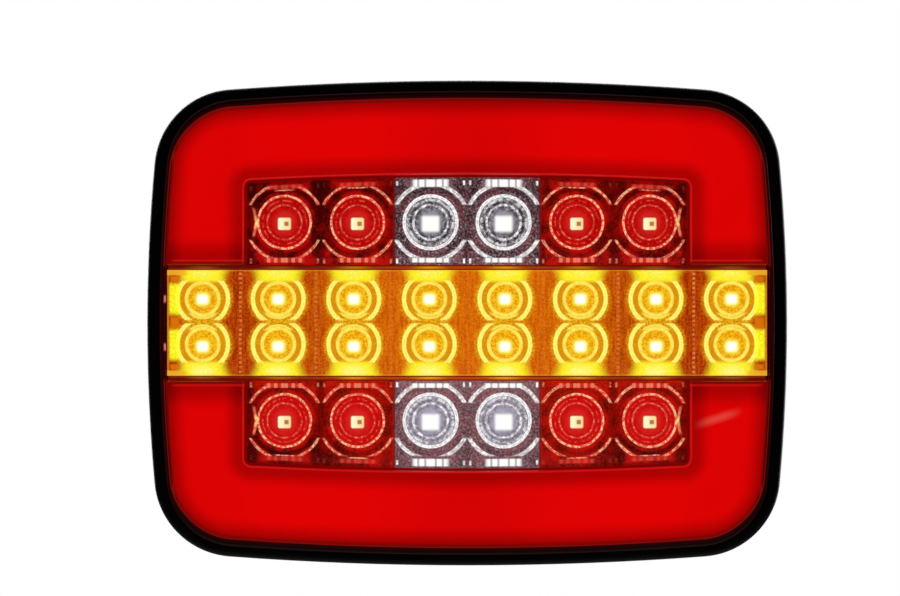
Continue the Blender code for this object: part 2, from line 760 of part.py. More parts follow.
def optic_shape(x_stops, z_stops, centres, radius, top_of):
    """A lens panel: a grid of cells between the stops, with a stepped ring lens about each centre.

    centres holds a row of (x, z) for each row of cells, and top_of gives the height of the highest
    stop at x, so that a panel can have a bowed edge.
    """
    columns = len(x_stops) - 1
    rows = len(z_stops) - 1
    bm = bmesh.new()
    bmesh.ops.create_grid(bm, x_segments=columns * CELL_STEPS, y_segments=rows * CELL_STEPS, size=0.5)
    cells = {}
    for face in bm.faces:
        middle = face.calc_center_median()
        key = (int((middle.x + 0.5) * columns), int((middle.y + 0.5) * rows))
        cells.setdefault(key, []).append(face)
    for vert in bm.verts:
        x = between(x_stops, (vert.co.x + 0.5) * columns)
        stops = z_stops[:-1] + [top_of(x)]
        vert.co = (x, OPTIC_FRONT, between(stops, (vert.co.y + 0.5) * rows))
    lenses = {}
    for key, faces in cells.items():
        lenses[key] = bmesh.ops.dissolve_faces(bm, faces=faces)["region"][0]
    bmesh.ops.inset_individual(bm, faces=list(lenses.values()), thickness=RING_LAND, depth=0.0)
    for (column, row), face in lenses.items():
        centre = centres[row][column]
        low = [min(vert.co[axis] for vert in face.verts) for axis in (0, 2)]
        high = [max(vert.co[axis] for vert in face.verts) for axis in (0, 2)]
        for vert in face.verts:
            across = (2 * vert.co.x - low[0] - high[0]) / (high[0] - low[0])
            up = (2 * vert.co.z - low[1] - high[1]) / (high[1] - low[1])
            ring = on_ring(across, up, radius)
            vert.co = (centre[0] + ring[0], OPTIC_FRONT, centre[1] + ring[1])
    faces = list(lenses.values())
    for depth in (-RING_STEP, RING_STEP, RING_STEP / 2):
        bmesh.ops.inset_individual(bm, faces=faces, thickness=radius / 4, depth=depth)
    rim = [edge for edge in bm.edges if edge.is_boundary]
    grown = bmesh.ops.extrude_edge_only(bm, edges=rim)["geom"]
    moved = [item for item in grown if isinstance(item, bmesh.types.BMVert)]
    bmesh.ops.translate(bm, verts=moved, vec=(0, OPTIC_THICKNESS, 0))
    back = [edge for edge in bm.edges if edge.is_boundary]
    bmesh.ops.triangle_fill(bm, use_beauty=True, use_dissolve=False, edges=back)
    bmesh.ops.recalc_face_normals(bm, faces=bm.faces[:])
    return bm


def turned_over(bm):
    """The same panel for the lower block, upside down."""
    bmesh.ops.scale(bm, verts=bm.verts[:], vec=(1, 1, -1))
    bmesh.ops.reverse_faces(bm, faces=bm.faces[:])
    return bm


def make_block_optics(stop_finish, reverse_finish):
    for name, side, left, right, cells in block_panels():
        finish = stop_finish if name == "stop_optic" else reverse_finish
        stops = [left, sum(cells) / len(cells), right]
        z_stops = [BLOCK_BOTTOM, BLOCK_TOP]
        for level in ("upper", "lower"):
            centres = [[(x, BLOCK_ROW) for x in cells]]
            bm = optic_shape(stops, z_stops, centres, BLOCK_RING, block_top)
            label = "_".join(word for word in (name, level, side) if word)
            piece(label, bm if level == "upper" else turned_over(bm), finish)


def make_indicator_optic(finish):
    columns = strip_columns()
    half_x = strip_half_x()
    middles = [(a + b) / 2 for a, b in zip(columns, columns[1:])]
    x_stops = [-half_x] + middles + [half_x]
    z_stops = [-STRIP_TOP, 0.0, STRIP_TOP]
    rows = (-STRIP_ROW_PITCH / 2, STRIP_ROW_PITCH / 2)
    centres = [[(x, z) for x in columns] for z in rows]
    bm = optic_shape(x_stops, z_stops, centres, STRIP_RING, lambda x: STRIP_TOP)
    piece("indicator_optic", bm, finish)


def make_leds(stop_finish, reverse_finish, indicator_finish):
    stop = mesh_of("stop_led", led_shape(), stop_finish)
    reverse = mesh_of("reverse_led", led_shape(), reverse_finish)
    indicator = mesh_of("indicator_led", led_shape(), indicator_finish)
    for level, sz in (("upper", 1), ("lower", -1)):
        for kind, mesh in (("stop", stop), ("reverse", reverse)):
            panels = [cells for name, _, _, _, cells in block_panels() if name.startswith(kind)]
            for number, x in enumerate(sum(panels, []), 1):
                place(f"{kind}_led_{level}_{number}", mesh, (x, 0.0, sz * BLOCK_ROW))
        for number, x in enumerate(strip_columns(), 1):
            place(f"indicator_led_{level}_{number}", indicator, (x, 0.0, sz * STRIP_ROW_PITCH / 2))


def build():
    clear_scene()
    black_plastic = material("black_plastic", (0.006, 0.005, 0.005), 0.32)
    dark_plastic = material("dark_plastic", (0.03, 0.004, 0.004), 0.4)
    clear_lens = material("clear_lens", (0.75, 0.72, 0.72), 0.05)
    black_rubber = material("black_rubber", (0.012, 0.012, 0.012), 0.7)
    grey_foam = material("grey_foam", (0.03, 0.03, 0.032), 0.9)
    zinc_steel = material("zinc_steel", (0.62, 0.62, 0.6), 0.3, 1.0)
    screw_steel = material("screw_steel", (0.5, 0.5, 0.5), 0.35, 1.0)
    board_green = material("board_green", (0.015, 0.09, 0.035), 0.4)
    white_plastic = material("white_plastic", (0.8, 0.8, 0.78), 0.5)
    red_guide = material("red_guide", (0.72, 0.002, 0.002), 0.15)
    red_optic = material("red_optic", (0.35, 0.002, 0.002), 0.1)
    clear_optic = material("clear_optic", (0.5, 0.42, 0.44), 0.08)
    amber_optic = material("amber_optic", (0.85, 0.3, 0.01), 0.1)
    red_led = material("red_led", (0.9, 0.45, 0.3), 0.3)
    white_led = material("white_led", (0.95, 0.95, 0.92), 0.3)
    amber_led = material("amber_led", (1.0, 0.85, 0.4), 0.3)
    chip_black = material("chip_black", (0.02, 0.02, 0.022), 0.5)
    can_aluminium = material("can_aluminium", (0.75, 0.75, 0.76), 0.3, 1.0)
    terminal_plastic = material("terminal_plastic", (0.55, 0.53, 0.48), 0.45)

    make_housing(black_plastic)
    make_rear_gasket(grey_foam)
    make_cable_grommet(black_rubber)
    make_lens_seal(black_rubber)
    make_front_lens(clear_lens)
    make_fixings(zinc_steel, zinc_steel, zinc_steel)
    make_circuit_board(board_green)
    make_board_screws(screw_steel)
    make_regulator_chip(chip_black)
    make_smoothing_capacitor(can_aluminium)
    make_wire_terminal(terminal_plastic)
    make_inner_frame(dark_plastic)
    make_reflectors(white_plastic)
    make_light_guides(red_guide)
    make_block_optics(red_optic, clear_optic)
    make_indicator_optic(amber_optic)
    make_leds(red_led, white_led, amber_led)


build()
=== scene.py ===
# %% [markdown]
# A square trailer tail light, lit, seen straight from the front. The solids come from the packed
# model, and this script adds the finish: fine outlines, ring lenses, the glow behind the clear
# window, light and camera. The box round the solids is kept from the start, so that the end of
# the script can show that nothing grew.

# %% Load the frame
import json
import math
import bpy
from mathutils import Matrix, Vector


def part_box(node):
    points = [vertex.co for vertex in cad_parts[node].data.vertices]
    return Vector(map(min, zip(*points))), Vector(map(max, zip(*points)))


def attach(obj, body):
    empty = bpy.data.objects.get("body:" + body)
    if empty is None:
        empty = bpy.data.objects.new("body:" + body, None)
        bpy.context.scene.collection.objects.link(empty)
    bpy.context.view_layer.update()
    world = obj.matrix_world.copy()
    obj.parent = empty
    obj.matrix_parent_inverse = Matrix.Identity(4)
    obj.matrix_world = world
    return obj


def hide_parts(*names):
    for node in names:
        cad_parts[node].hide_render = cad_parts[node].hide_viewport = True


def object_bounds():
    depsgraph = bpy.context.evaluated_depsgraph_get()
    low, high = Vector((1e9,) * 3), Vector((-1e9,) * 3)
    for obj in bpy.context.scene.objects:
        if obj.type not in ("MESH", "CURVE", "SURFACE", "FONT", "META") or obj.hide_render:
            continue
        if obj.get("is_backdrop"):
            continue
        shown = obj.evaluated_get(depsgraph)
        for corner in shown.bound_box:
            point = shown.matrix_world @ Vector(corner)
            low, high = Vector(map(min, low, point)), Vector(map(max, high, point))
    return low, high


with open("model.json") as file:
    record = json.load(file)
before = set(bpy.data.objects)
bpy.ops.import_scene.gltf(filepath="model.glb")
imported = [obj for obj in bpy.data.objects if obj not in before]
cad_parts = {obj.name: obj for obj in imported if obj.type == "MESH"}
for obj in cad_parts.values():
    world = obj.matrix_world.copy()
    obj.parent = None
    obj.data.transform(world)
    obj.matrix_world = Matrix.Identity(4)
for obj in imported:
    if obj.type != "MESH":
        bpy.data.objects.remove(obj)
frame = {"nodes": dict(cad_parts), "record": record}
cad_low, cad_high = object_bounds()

from types import SimpleNamespace

import bmesh
import bpy
from mathutils import Matrix, Vector

MM = 1000  # millimetres in a metre
print("solids:", len(frame["nodes"]), "box in mm:", [round(MM * v, 1) for v in cad_high - cad_low])

# %% [markdown]
# The sizes that the finish shares with the solids are measured on them where a box shows them,
# and the rest are the lamp's own: the bows of its outline, the fits between pieces, and the grid
# of its light sources. The lens faces -Y, so a face further forward has a lower Y.

# %% Sizes
housing_low, housing_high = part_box("housing")
lens_low, lens_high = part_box("front_lens")
guide_low, guide_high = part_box("upper_light_guide")
stop_low, stop_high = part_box("stop_optic_upper_left")
strip_low, strip_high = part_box("indicator_optic")
_, pad_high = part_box("rear_gasket")

FIT = 0.0003
SKIRT = 0.001
TOP_BOW = 0.648
SIDE_BOW = 0.358
CORNER = 0.0165
WINDOW_INSET = (housing_high.x - lens_high.x + SKIRT, housing_high.z - lens_high.z + SKIRT)
OUTER = (housing_high.x, housing_high.z, TOP_BOW, SIDE_BOW, CORNER)
WINDOW = (
    lens_high.x - SKIRT,
    lens_high.z - SKIRT,
    TOP_BOW - WINDOW_INSET[1],
    SIDE_BOW - WINDOW_INSET[0],
    CORNER - sum(WINDOW_INSET) / 2,
)
BLOCK_COLUMNS = 6
BLOCK_PITCH = 0.01486
BLOCK_ROW = 0.02016
BLOCK_BOW = 0.0012
BLOCK_HEIGHT = 0.0178
BLOCK_HALF_X = -stop_low.x
BLOCK_BOTTOM = stop_low.z
BLOCK_TOP = BLOCK_BOTTOM + BLOCK_HEIGHT
LENS_RISE = 0.0003
STRIP_COLUMNS = 8
STRIP_END = 0.00725
STRIP_PITCH = 2 * (strip_high.x - STRIP_END) / (STRIP_COLUMNS - 1)
STRIP_ROW = 0.004875
STRIP_LENS_ROW = 0.00463
STRIP_LENS_RISE = 0.00024
OPTIC_THICKNESS = 0.0034
OPTIC_BACK = stop_high.y
OPTIC_FRONT = OPTIC_BACK - OPTIC_THICKNESS
print("window half in mm:", [round(MM * v, 2) for v in WINDOW[:2]])
print("strip pitch in mm:", round(MM * STRIP_PITCH, 2))

# %% [markdown]
# The lamp's outline is a rectangle whose four sides bow outward, joined by round corners that run
# smoothly into both bows. It is computed from its radii rather than drawn as a curve, so that the
# rim, the window, the pad and the light guides are all the same shape, drawn in by different
# amounts.

# %% Outlines
ROUND_STEPS = 48


def arc(centre, radius, start, end, steps):
    angles = [start + (end - start) * i / steps for i in range(steps)]
    return [(centre[0] + radius * math.cos(a), centre[1] + radius * math.sin(a)) for a in angles]


def circle(x, z, radius):
    return arc((x, z), radius, 0.0, 2 * math.pi, ROUND_STEPS)


def corner_centre(shape):
    """Centre of the corner arc that is tangent to the top bow and to the side bow."""
    half_x, half_z, top_radius, side_radius, corner_radius = shape
    top_z = half_z - top_radius
    side_x = half_x - side_radius
    to_top = top_radius - corner_radius
    to_side = side_radius - corner_radius
    apart = math.hypot(side_x, top_z)
    along = (apart**2 + to_top**2 - to_side**2) / (2 * apart)
    across = math.sqrt(to_top**2 - along**2)
    unit = (side_x / apart, -top_z / apart)
    return unit[0] * along + unit[1] * across, top_z + unit[1] * along - unit[0] * across


def bowed(shape, inset=0.0):
    """The bowed outline as (x, z) points, drawn in by inset all round."""
    half_x, half_z, top_radius, side_radius, corner_radius = shape
    top = (0.0, half_z - top_radius)
    side = (half_x - side_radius, 0.0)
    corner = corner_centre(shape)
    side_angle = math.atan2(corner[1] - side[1], corner[0] - side[0])
    top_angle = math.atan2(corner[1] - top[1], corner[0] - top[0])
    quarter = arc(side, side_radius - inset, 0.0, side_angle, 8)
    quarter += arc(corner, corner_radius - inset, side_angle, top_angle, 20)
    quarter += arc(top, top_radius - inset, top_angle, math.pi / 2, 8)
    half = quarter + [(0.0, half_z - inset)] + [(-x, z) for x, z in reversed(quarter)]
    return half + [(x, -z) for x, z in reversed(half[1:-1])]


def rounded(shape, outer, inner, depth_out, depth_in, steps=5):
    """Sections of a quarter round, from one inset and depth to another."""
    made = []
    for i in range(steps + 1):
        angle = math.pi / 2 * i / steps
        inset = outer + (inner - outer) * (1 - math.cos(angle))
        made.append((bowed(shape, inset), depth_out + (depth_in - depth_out) * math.sin(angle)))
    return made


print("outline points:", len(bowed(OUTER)))

# %% [markdown]
# Most mouldings of the lamp are one outline carried through a row of depths: out, round an edge
# and back. A loop of edges is extruded once for each depth, and each new point is put back on the
# outline by its number round the loop, which the extrusion copies along. Both ends are then
# filled, round any holes that run through. What is round, from a washer to a lens ring, is a
# section turned about its own axis.

# %% Skins and turned rings
MERGE = 1e-7
RIDGE_ROOT = 0.0002


def verts_of(geom):
    return [item for item in geom if isinstance(item, bmesh.types.BMVert)]


def loop_between(verts):
    inside = set(verts)
    edges = {edge for vert in verts for edge in vert.link_edges}
    return [edge for edge in edges if inside.issuperset(edge.verts)]


def merge(bm):
    bmesh.ops.remove_doubles(bm, verts=bm.verts[:], dist=MERGE)


def skin(sections, holes=(), ring=False):
    """A closed skin through (points, depth) sections, with straight holes or closed on itself."""
    bm = bmesh.new()
    step = bm.verts.layers.int.new("step")
    ends = []
    runs = [sections + sections[:1] if ring else sections]
    runs += [[(hole, sections[0][1]), (hole, sections[-1][1])] for hole in holes]
    for run in runs:
        verts = bmesh.ops.create_circle(bm, segments=len(run[0][0]), radius=1.0)["verts"]
        for number, vert in enumerate(verts):
            vert[step] = number
        for index, (points, depth) in enumerate(run):
            if index:
                verts = verts_of(bmesh.ops.extrude_edge_only(bm, edges=loop_between(verts))["geom"])
            else:
                first = verts
            for vert in verts:
                x, z = points[vert[step]]
                vert.co = (x, depth, z)
        ends.append((first, verts))
    if ring:
        merge(bm)
    else:
        for side in (0, 1):
            edges = [edge for pair in ends for edge in loop_between(pair[side])]
            bmesh.ops.triangle_fill(bm, use_beauty=True, use_dissolve=False, edges=edges)
    return bm


def turn(bm, centre, profile, steps, start=0.0, angle=2 * math.pi):
    """Turns (radius, depth) points about an axis along Y: a ring, or part of one, closed."""
    verts = [bm.verts.new((centre[0] + radius, depth, centre[1])) for radius, depth in profile]
    pivot = Vector((centre[0], 0.0, centre[1]))
    bmesh.ops.rotate(bm, cent=pivot, matrix=Matrix.Rotation(-start, 3, "Y"), verts=verts)
    full = angle >= 2 * math.pi
    edges = [bm.edges.new(pair) for pair in zip(verts, verts[1:] + verts[:1])]
    faces = [] if full else bmesh.ops.contextual_create(bm, geom=edges)["faces"]
    geom = verts + edges + faces
    sweep = {"axis": (0, -1, 0), "angle": angle, "steps": steps, "use_merge": full}
    bmesh.ops.spin(bm, geom=geom, cent=pivot, **sweep)


def turned(centre, profile, steps):
    bm = bmesh.new()
    turn(bm, centre, profile, steps)
    merge(bm)
    return bm


def ridge(radius, width, height):
    """The four points of a ridge's section on a lens panel."""
    root = OPTIC_FRONT + RIDGE_ROOT
    return [
        (radius - width / 2, root),
        (radius - width / 4, OPTIC_FRONT - height),
        (radius + width / 4, OPTIC_FRONT - height),
        (radius + width / 2, root),
    ]


print("merge distance in mm:", MM * MERGE)

# %% [markdown]
# Each finished mesh becomes one object at the origin, with its place in the mesh. It takes over
# from a solid of the frame, rides the same body and carries the finish it is given. Faces shade
# smoothly except across a sharp edge.

# %% Making a piece
SHARP_DEGREES = 35
slots = {row["node"]: row["material_slot"] for row in frame["record"]["subparts"]}


def add_object(name, bm, finish):
    mesh = bpy.data.meshes.new(name)
    bm.to_mesh(mesh)
    bm.free()
    mesh.materials.append(finish)
    made = bpy.data.objects.new(name, mesh)
    bpy.context.scene.collection.objects.link(made)
    return made


def show(name, bm, finish, nodes, body="lamp"):
    bmesh.ops.recalc_face_normals(bm, faces=bm.faces[:])
    piece = add_object(name, bm, finish)
    piece.data.shade_smooth()
    piece.data.set_sharp_from_angle(angle=math.radians(SHARP_DEGREES))
    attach(piece, body)
    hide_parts(*nodes)
    print(name, len(piece.data.polygons), "faces")


print("material slots:", len(set(slots.values())))

# %% [markdown]
# Every finish is a small calculation at each point of the surface. Writing it as node links is
# long, so one class holds a socket and lets the usual signs make the nodes: a + b adds a Math
# node and links both. Its node method makes any other node.

# %% Shader arithmetic


class Signal:
    """A value on its way through a node tree."""

    def __init__(self, tree, socket):
        self.tree = tree
        self.socket = socket

    def node(self, kind, settings, sockets, output=0):
        made = self.tree.nodes.new(kind)
        for name, value in settings.items():
            setattr(made, name, value)
        for key, value in sockets.items():
            if isinstance(value, Signal):
                self.tree.links.new(value.socket, made.inputs[key])
            else:
                made.inputs[key].default_value = value
        return Signal(self.tree, made.outputs[output])

    def maths(self, operation, *values):
        return self.node("ShaderNodeMath", {"operation": operation}, dict(enumerate(values)))

    def __add__(self, other):
        return self.maths("ADD", self, other)

    __radd__ = __add__

    def __sub__(self, other):
        return self.maths("SUBTRACT", self, other)

    def __rsub__(self, other):
        return self.maths("SUBTRACT", other, self)

    def __mul__(self, other):
        return self.maths("MULTIPLY", self, other)

    __rmul__ = __mul__

    def __truediv__(self, other):
        return self.maths("DIVIDE", self, other)

    def __rtruediv__(self, other):
        return self.maths("DIVIDE", other, self)

    def __abs__(self):
        return self.maths("ABSOLUTE", self)

    def root(self):
        return self.maths("SQRT", self)

    def most(self, other):
        return self.maths("MAXIMUM", self, other)

    def least(self, other):
        return self.maths("MINIMUM", self, other)

    def rise(self, low, high):
        """0 below low, 1 above high, smooth between."""
        settings = {"interpolation_type": "SMOOTHSTEP"}
        sockets = {"Value": self, "From Min": low, "From Max": high}
        return self.node("ShaderNodeMapRange", settings, sockets)

    def fall(self, low, high):
        """1 below low, 0 above high, smooth between."""
        return 1.0 - self.rise(low, high)

    def band(self, centre, half, soft):
        """1 within half of centre, fading over soft."""
        return abs(self - centre).fall(half - soft / 2, half + soft / 2)

    def mix(self, low, high):
        """Colour low where this is 0, high where it is 1."""
        return self.node("ShaderNodeMix", {"data_type": "RGBA"}, {0: self, 6: low, 7: high}, 2)

    def axes(self):
        made = self.node("ShaderNodeSeparateXYZ", {}, {0: self})
        return [Signal(self.tree, socket) for socket in made.socket.node.outputs]

    def noise(self, scale, detail):
        sockets = {"Vector": self, "Scale": scale, "Detail": detail}
        return self.node("ShaderNodeTexNoise", {}, sockets)


print("signs: + - * / abs")

# %% [markdown]
# A colour read off a screen isn't proportional to light, so it is turned to the linear values
# that shaders use. A new material starts as a Principled shader and the point's own position, in
# millimetres from the lamp's centre, which is what all the glow below is worked out from. So the
# bare numbers in the glow are millimetres, or shares of light from 0 to 1.

# %% Colours and materials
GRAIN_FINER = 6
GRAIN_DEPTH = 0.0001


def srgb(red, green, blue):
    """A screen colour of 0 to 255 as linear light."""
    shares = [channel / 255 for channel in (red, green, blue)]
    linear = [s / 12.92 if s <= 0.04045 else ((s + 0.055) / 1.055) ** 2.4 for s in shares]
    return (*linear, 1.0)


def grey(level):
    return (level, level, level, 1.0)


def start_material(name):
    """A new material, its shader, and the position of the point in millimetres."""
    made = bpy.data.materials.new(name)
    made.use_nodes = True
    tree = made.node_tree
    shader = tree.nodes["Principled BSDF"]
    coords = tree.nodes.new("ShaderNodeTexCoord")
    place = Signal(tree, coords.outputs["Object"])
    place = place.node("ShaderNodeVectorMath", {"operation": "SCALE"}, {0: place, "Scale": MM})
    return made, shader, place


def feed(shader, **inputs):
    """Links signals, or sets constants, on a shader's inputs by name."""
    for key, value in inputs.items():
        socket = shader.inputs[key.replace("_", " ")]
        if isinstance(value, Signal):
            value.tree.links.new(value.socket, socket)
        else:
            socket.default_value = value


def mottled(name, dark, pale, scale, rough, metallic=0.0, bump=0.0):
    """A plain surface whose colour and polish vary from place to place."""
    made, shader, place = start_material(name)
    patches = place.noise(scale, 3.0)
    feed(shader, Base_Color=patches.mix(dark, pale), Metallic=metallic)
    feed(shader, Roughness=patches * rough[1] + rough[0])
    if bump:
        grain = place.noise(scale * GRAIN_FINER, 2.0)
        sockets = {"Height": grain, "Strength": bump, "Distance": GRAIN_DEPTH}
        feed(shader, Normal=place.node("ShaderNodeBump", {}, sockets))
    return made


BLACK = grey(0.0)
print("middle grey in light:", round(srgb(128, 128, 128)[0], 3))

# %% [markdown]
# The housing is a black moulded tub with a wider rim round the window. Its rim is rounded to the
# front, and the tub behind it tapers slightly so that it leaves its mould. A lathe wouldn't do
# for this outline, so it is a skin through a row of depths, with the stud holes and the cable
# hole through its floor.

# %% Housing
RIM_BACK = housing_low.y + 0.0095
RIM_ROUND = 0.0012
RIM_BREAK = 0.0003
SHOULDER = -0.021
TUB_TOP = 0.0018
TUB_FOOT = 0.0028
TUB_ROUND = 0.002
TUB_INSIDE = (0.0015, 0.0019)
TUB_FLOOR = housing_high.y - 0.0024
STUD_X = 0.025
STUD_HOLE = 0.0028
GROMMET_Z = -0.018
GROMMET_HOLE = 0.0053


def back_holes(cable_hole):
    """Outlines of the two stud holes and of the cable's."""
    studs = [circle(side * STUD_X, 0.0, STUD_HOLE) for side in (-1, 1)]
    return studs + [circle(0.0, GROMMET_Z, cable_hole)]


def housing_skin():
    front, back = housing_low.y, housing_high.y
    lip = bowed(WINDOW, -SKIRT - FIT)
    foot = rounded(OUTER, TUB_FOOT, TUB_FOOT + TUB_ROUND, back - TUB_ROUND, back)
    sections = list(reversed(foot))
    sections += [(bowed(OUTER, TUB_TOP), RIM_BACK), (bowed(OUTER, RIM_BREAK), RIM_BACK)]
    sections += [(bowed(OUTER), RIM_BACK - RIM_BREAK)]
    sections += rounded(OUTER, 0.0, RIM_ROUND, front + RIM_ROUND, front)
    sections += [(lip, front), (lip, SHOULDER), (bowed(WINDOW, TUB_INSIDE[0]), SHOULDER)]
    sections += [(bowed(WINDOW, TUB_INSIDE[1]), TUB_FLOOR)]
    return skin(sections, back_holes(GROMMET_HOLE))


black_tones = ((0.0016, 0.0006, 0.0006, 1), (0.003, 0.0012, 0.0012, 1))
black_plastic = mottled("black_plastic", *black_tones, 0.3, (0.38, 0.1), bump=0.12)
feed(black_plastic.node_tree.nodes["Principled BSDF"], Specular_IOR_Level=0.3)
show("tub_and_rim", housing_skin(), black_plastic, ["housing"])

# %% [markdown]
# Behind the tub lies a foam pad that seals it to the trailer, and a rubber grommet where the
# cable leaves. Both are soft, so their edges are rounded. The foam is squeezed against the tub,
# so it reaches up to it. Its open pores are a fine bump and a mottled grey.

# %% Rear pad and grommet
PAD_GAP = 0.00002
PAD_HOLE = 0.0068
GROMMET_BORE = 0.0033
GROMMET_NECK = 0.005
SOFT_EDGE = 0.0005


def pad_skin():
    margin = housing_high.x - pad_high.x
    near = housing_high.y + PAD_GAP
    far = pad_high.y
    front = rounded(OUTER, margin, margin + SOFT_EDGE, near + SOFT_EDGE, near, 3)
    back = rounded(OUTER, margin, margin + SOFT_EDGE, far - SOFT_EDGE, far, 3)
    return skin(list(reversed(front)) + back, back_holes(PAD_HOLE))


def grommet_mesh():
    low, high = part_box("cable_grommet")
    flange = (high.x - low.x) / 2
    shy = flange - SOFT_EDGE
    inside = TUB_FLOOR - FIT
    behind = housing_high.y + FIT
    profile = [(GROMMET_BORE, low.y), (shy, low.y), (flange, low.y + SOFT_EDGE)]
    profile += [(flange, inside - SOFT_EDGE), (shy, inside), (GROMMET_NECK, inside)]
    profile += [(GROMMET_NECK, behind), (shy, behind), (flange, behind + SOFT_EDGE)]
    profile += [(flange, high.y - SOFT_EDGE), (shy, high.y)]
    profile += [(GROMMET_BORE + SOFT_EDGE, high.y), (GROMMET_BORE, high.y - SOFT_EDGE)]
    return turned((0.0, GROMMET_Z), profile, ROUND_STEPS)


foam_tones = ((0.018, 0.018, 0.02, 1), (0.05, 0.05, 0.053, 1))
grey_foam = mottled("grey_foam", *foam_tones, 1.6, (0.8, 0.15), bump=0.6)
black_rubber = mottled("black_rubber", grey(0.008), grey(0.018), 0.8, (0.55, 0.2), bump=0.2)
show("foam_pad", pad_skin(), grey_foam, ["rear_gasket"])
show("rubber_grommet", grommet_mesh(), black_rubber, ["cable_grommet"])

# %% [markdown]
# The lamp hangs on two M5 studs, each with a washer and a nut. The thread is cut as rings at its
# 0.8 mm pitch, which from outside looks like the real helix and needs only one turned profile.
# The nut's hexagon is one outline that changes to a circle at both faces, which gives the usual
# chamfer.

# %% Studs, washers and nuts
THREAD_PITCH = 0.0008
THREAD_DEPTH = 0.0004
STUD_RADIUS = 0.0025
TIP_RADIUS = 0.0018
STUD_TIP = 0.0008
HEAD_ROUND = 0.0004
WASHER_ROUND = 0.00015
NUT_LEAD = 0.0031
NUT_CHAMFER = 0.0005


def stud_mesh(side):
    low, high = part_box(f"stud_{side}")
    x = (low.x + high.x) / 2
    head = (high.x - low.x) / 2
    seat = TUB_FLOOR - FIT
    profile = [(0.0, low.y), (head - HEAD_ROUND, low.y), (head, low.y + HEAD_ROUND)]
    profile += [(head, seat), (STUD_RADIUS, seat)]
    depth = housing_high.y
    while depth + THREAD_PITCH < high.y - STUD_TIP:
        root = (STUD_RADIUS - THREAD_DEPTH, depth + THREAD_PITCH / 2)
        profile += [(STUD_RADIUS, depth), root]
        depth += THREAD_PITCH
    profile += [(STUD_RADIUS, depth), (TIP_RADIUS, high.y), (0.0, high.y)]
    return turned((x, 0.0), profile, 32)


def washer_mesh(side):
    low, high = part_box(f"washer_{side}")
    x = (low.x + high.x) / 2
    outer = (high.x - low.x) / 2
    shy = outer - WASHER_ROUND
    profile = [(STUD_HOLE, low.y), (shy, low.y), (outer, low.y + WASHER_ROUND)]
    profile += [(outer, high.y - WASHER_ROUND), (shy, high.y), (STUD_HOLE, high.y)]
    return turned((x, 0.0), profile, ROUND_STEPS)


def hexagon(x, flats):
    points = []
    for i in range(ROUND_STEPS):
        angle = 2 * math.pi * i / ROUND_STEPS
        reach = flats / 2 / math.cos(angle % (math.pi / 3) - math.pi / 6)
        points.append((x + reach * math.cos(angle), reach * math.sin(angle)))
    return points


def nut_mesh(side):
    low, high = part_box(f"nut_{side}")
    x = (low.x + high.x) / 2
    flats = high.z - low.z
    near, far = low.y + NUT_CHAMFER, high.y - NUT_CHAMFER
    bore = circle(x, 0.0, STUD_HOLE)
    lead = circle(x, 0.0, NUT_LEAD)
    face = circle(x, 0.0, flats / 2)
    body = hexagon(x, flats)
    sections = [(bore, near), (lead, low.y), (face, low.y), (body, near)]
    sections += [(body, far), (face, high.y), (lead, high.y), (bore, far)]
    return skin(sections, ring=True)


zinc_tones = ((0.42, 0.43, 0.44, 1), (0.68, 0.68, 0.66, 1))
zinc_steel = mottled("zinc_steel", *zinc_tones, 0.9, (0.22, 0.2), 1.0, 0.15)
for side in ("left", "right"):
    show(f"threaded_stud_{side}", stud_mesh(side), zinc_steel, [f"stud_{side}"])
    washer = washer_mesh(side)
    show(f"round_washer_{side}", washer, zinc_steel, [f"washer_{side}"], f"{side}_washer")
    show(f"hexagon_nut_{side}", nut_mesh(side), zinc_steel, [f"nut_{side}"], f"{side}_nut")

# %% [markdown]
# Two red light guides, one over and one under, make the tail light: thick plates whose edges are
# rounded to the front. Each is an arch cut from the window's outline round the block of optics.
# It is filled from its outline, extruded back and bevelled.

# %% Light guides: shape
BLOCK_GAP = 0.0006
GUIDE_EDGE = 0.0008
ARCH_ROUND = 0.0014


def block_top(x):
    """Height of the bowed top edge of an optic block."""
    return BLOCK_TOP - BLOCK_BOW * (x / BLOCK_HALF_X) ** 2


def arch_loop():
    foot = WINDOW[0] - WINDOW[3] + math.sqrt((WINDOW[3] - FIT) ** 2 - BLOCK_BOTTOM**2)
    outer = [(x, z) for x, z in bowed(WINDOW, FIT) if z > BLOCK_BOTTOM + FIT]
    inner = BLOCK_HALF_X + BLOCK_GAP
    flat = inner - ARCH_ROUND
    shoulder = block_top(flat) + BLOCK_GAP - ARCH_ROUND
    left = arc((-flat, shoulder), ARCH_ROUND, math.pi, math.pi / 2, 6)
    right = arc((flat, shoulder), ARCH_ROUND, math.pi / 2, 0.0, 6)
    along = [flat * (i / 8 - 1) for i in range(1, 16)]
    top = [(x, block_top(x) + BLOCK_GAP) for x in along]
    arch = [(-inner, BLOCK_BOTTOM)] + left + [(-flat, shoulder + ARCH_ROUND)]
    arch += top + right + [(inner, shoulder), (inner, BLOCK_BOTTOM)]
    return [(foot, BLOCK_BOTTOM)] + outer + [(-foot, BLOCK_BOTTOM)] + arch


def thicken(bm, depth):
    """Makes a flat sheet a closed plate."""
    moved = verts_of(bmesh.ops.extrude_face_region(bm, geom=bm.faces[:])["geom"])
    bmesh.ops.translate(bm, verts=moved, vec=(0, depth, 0))
    bmesh.ops.recalc_face_normals(bm, faces=bm.faces[:])


def front_rim(bm):
    """The edges round the front face of a plate."""
    depths = [vert.co.y for vert in bm.verts]
    middle = (min(depths) + max(depths)) / 2
    level = [face for face in bm.faces if abs(face.normal.y) > 0.9]
    front = {face for face in level if face.calc_center_median().y < middle}
    return [edge for edge in bm.edges if len(front.intersection(edge.link_faces)) == 1]


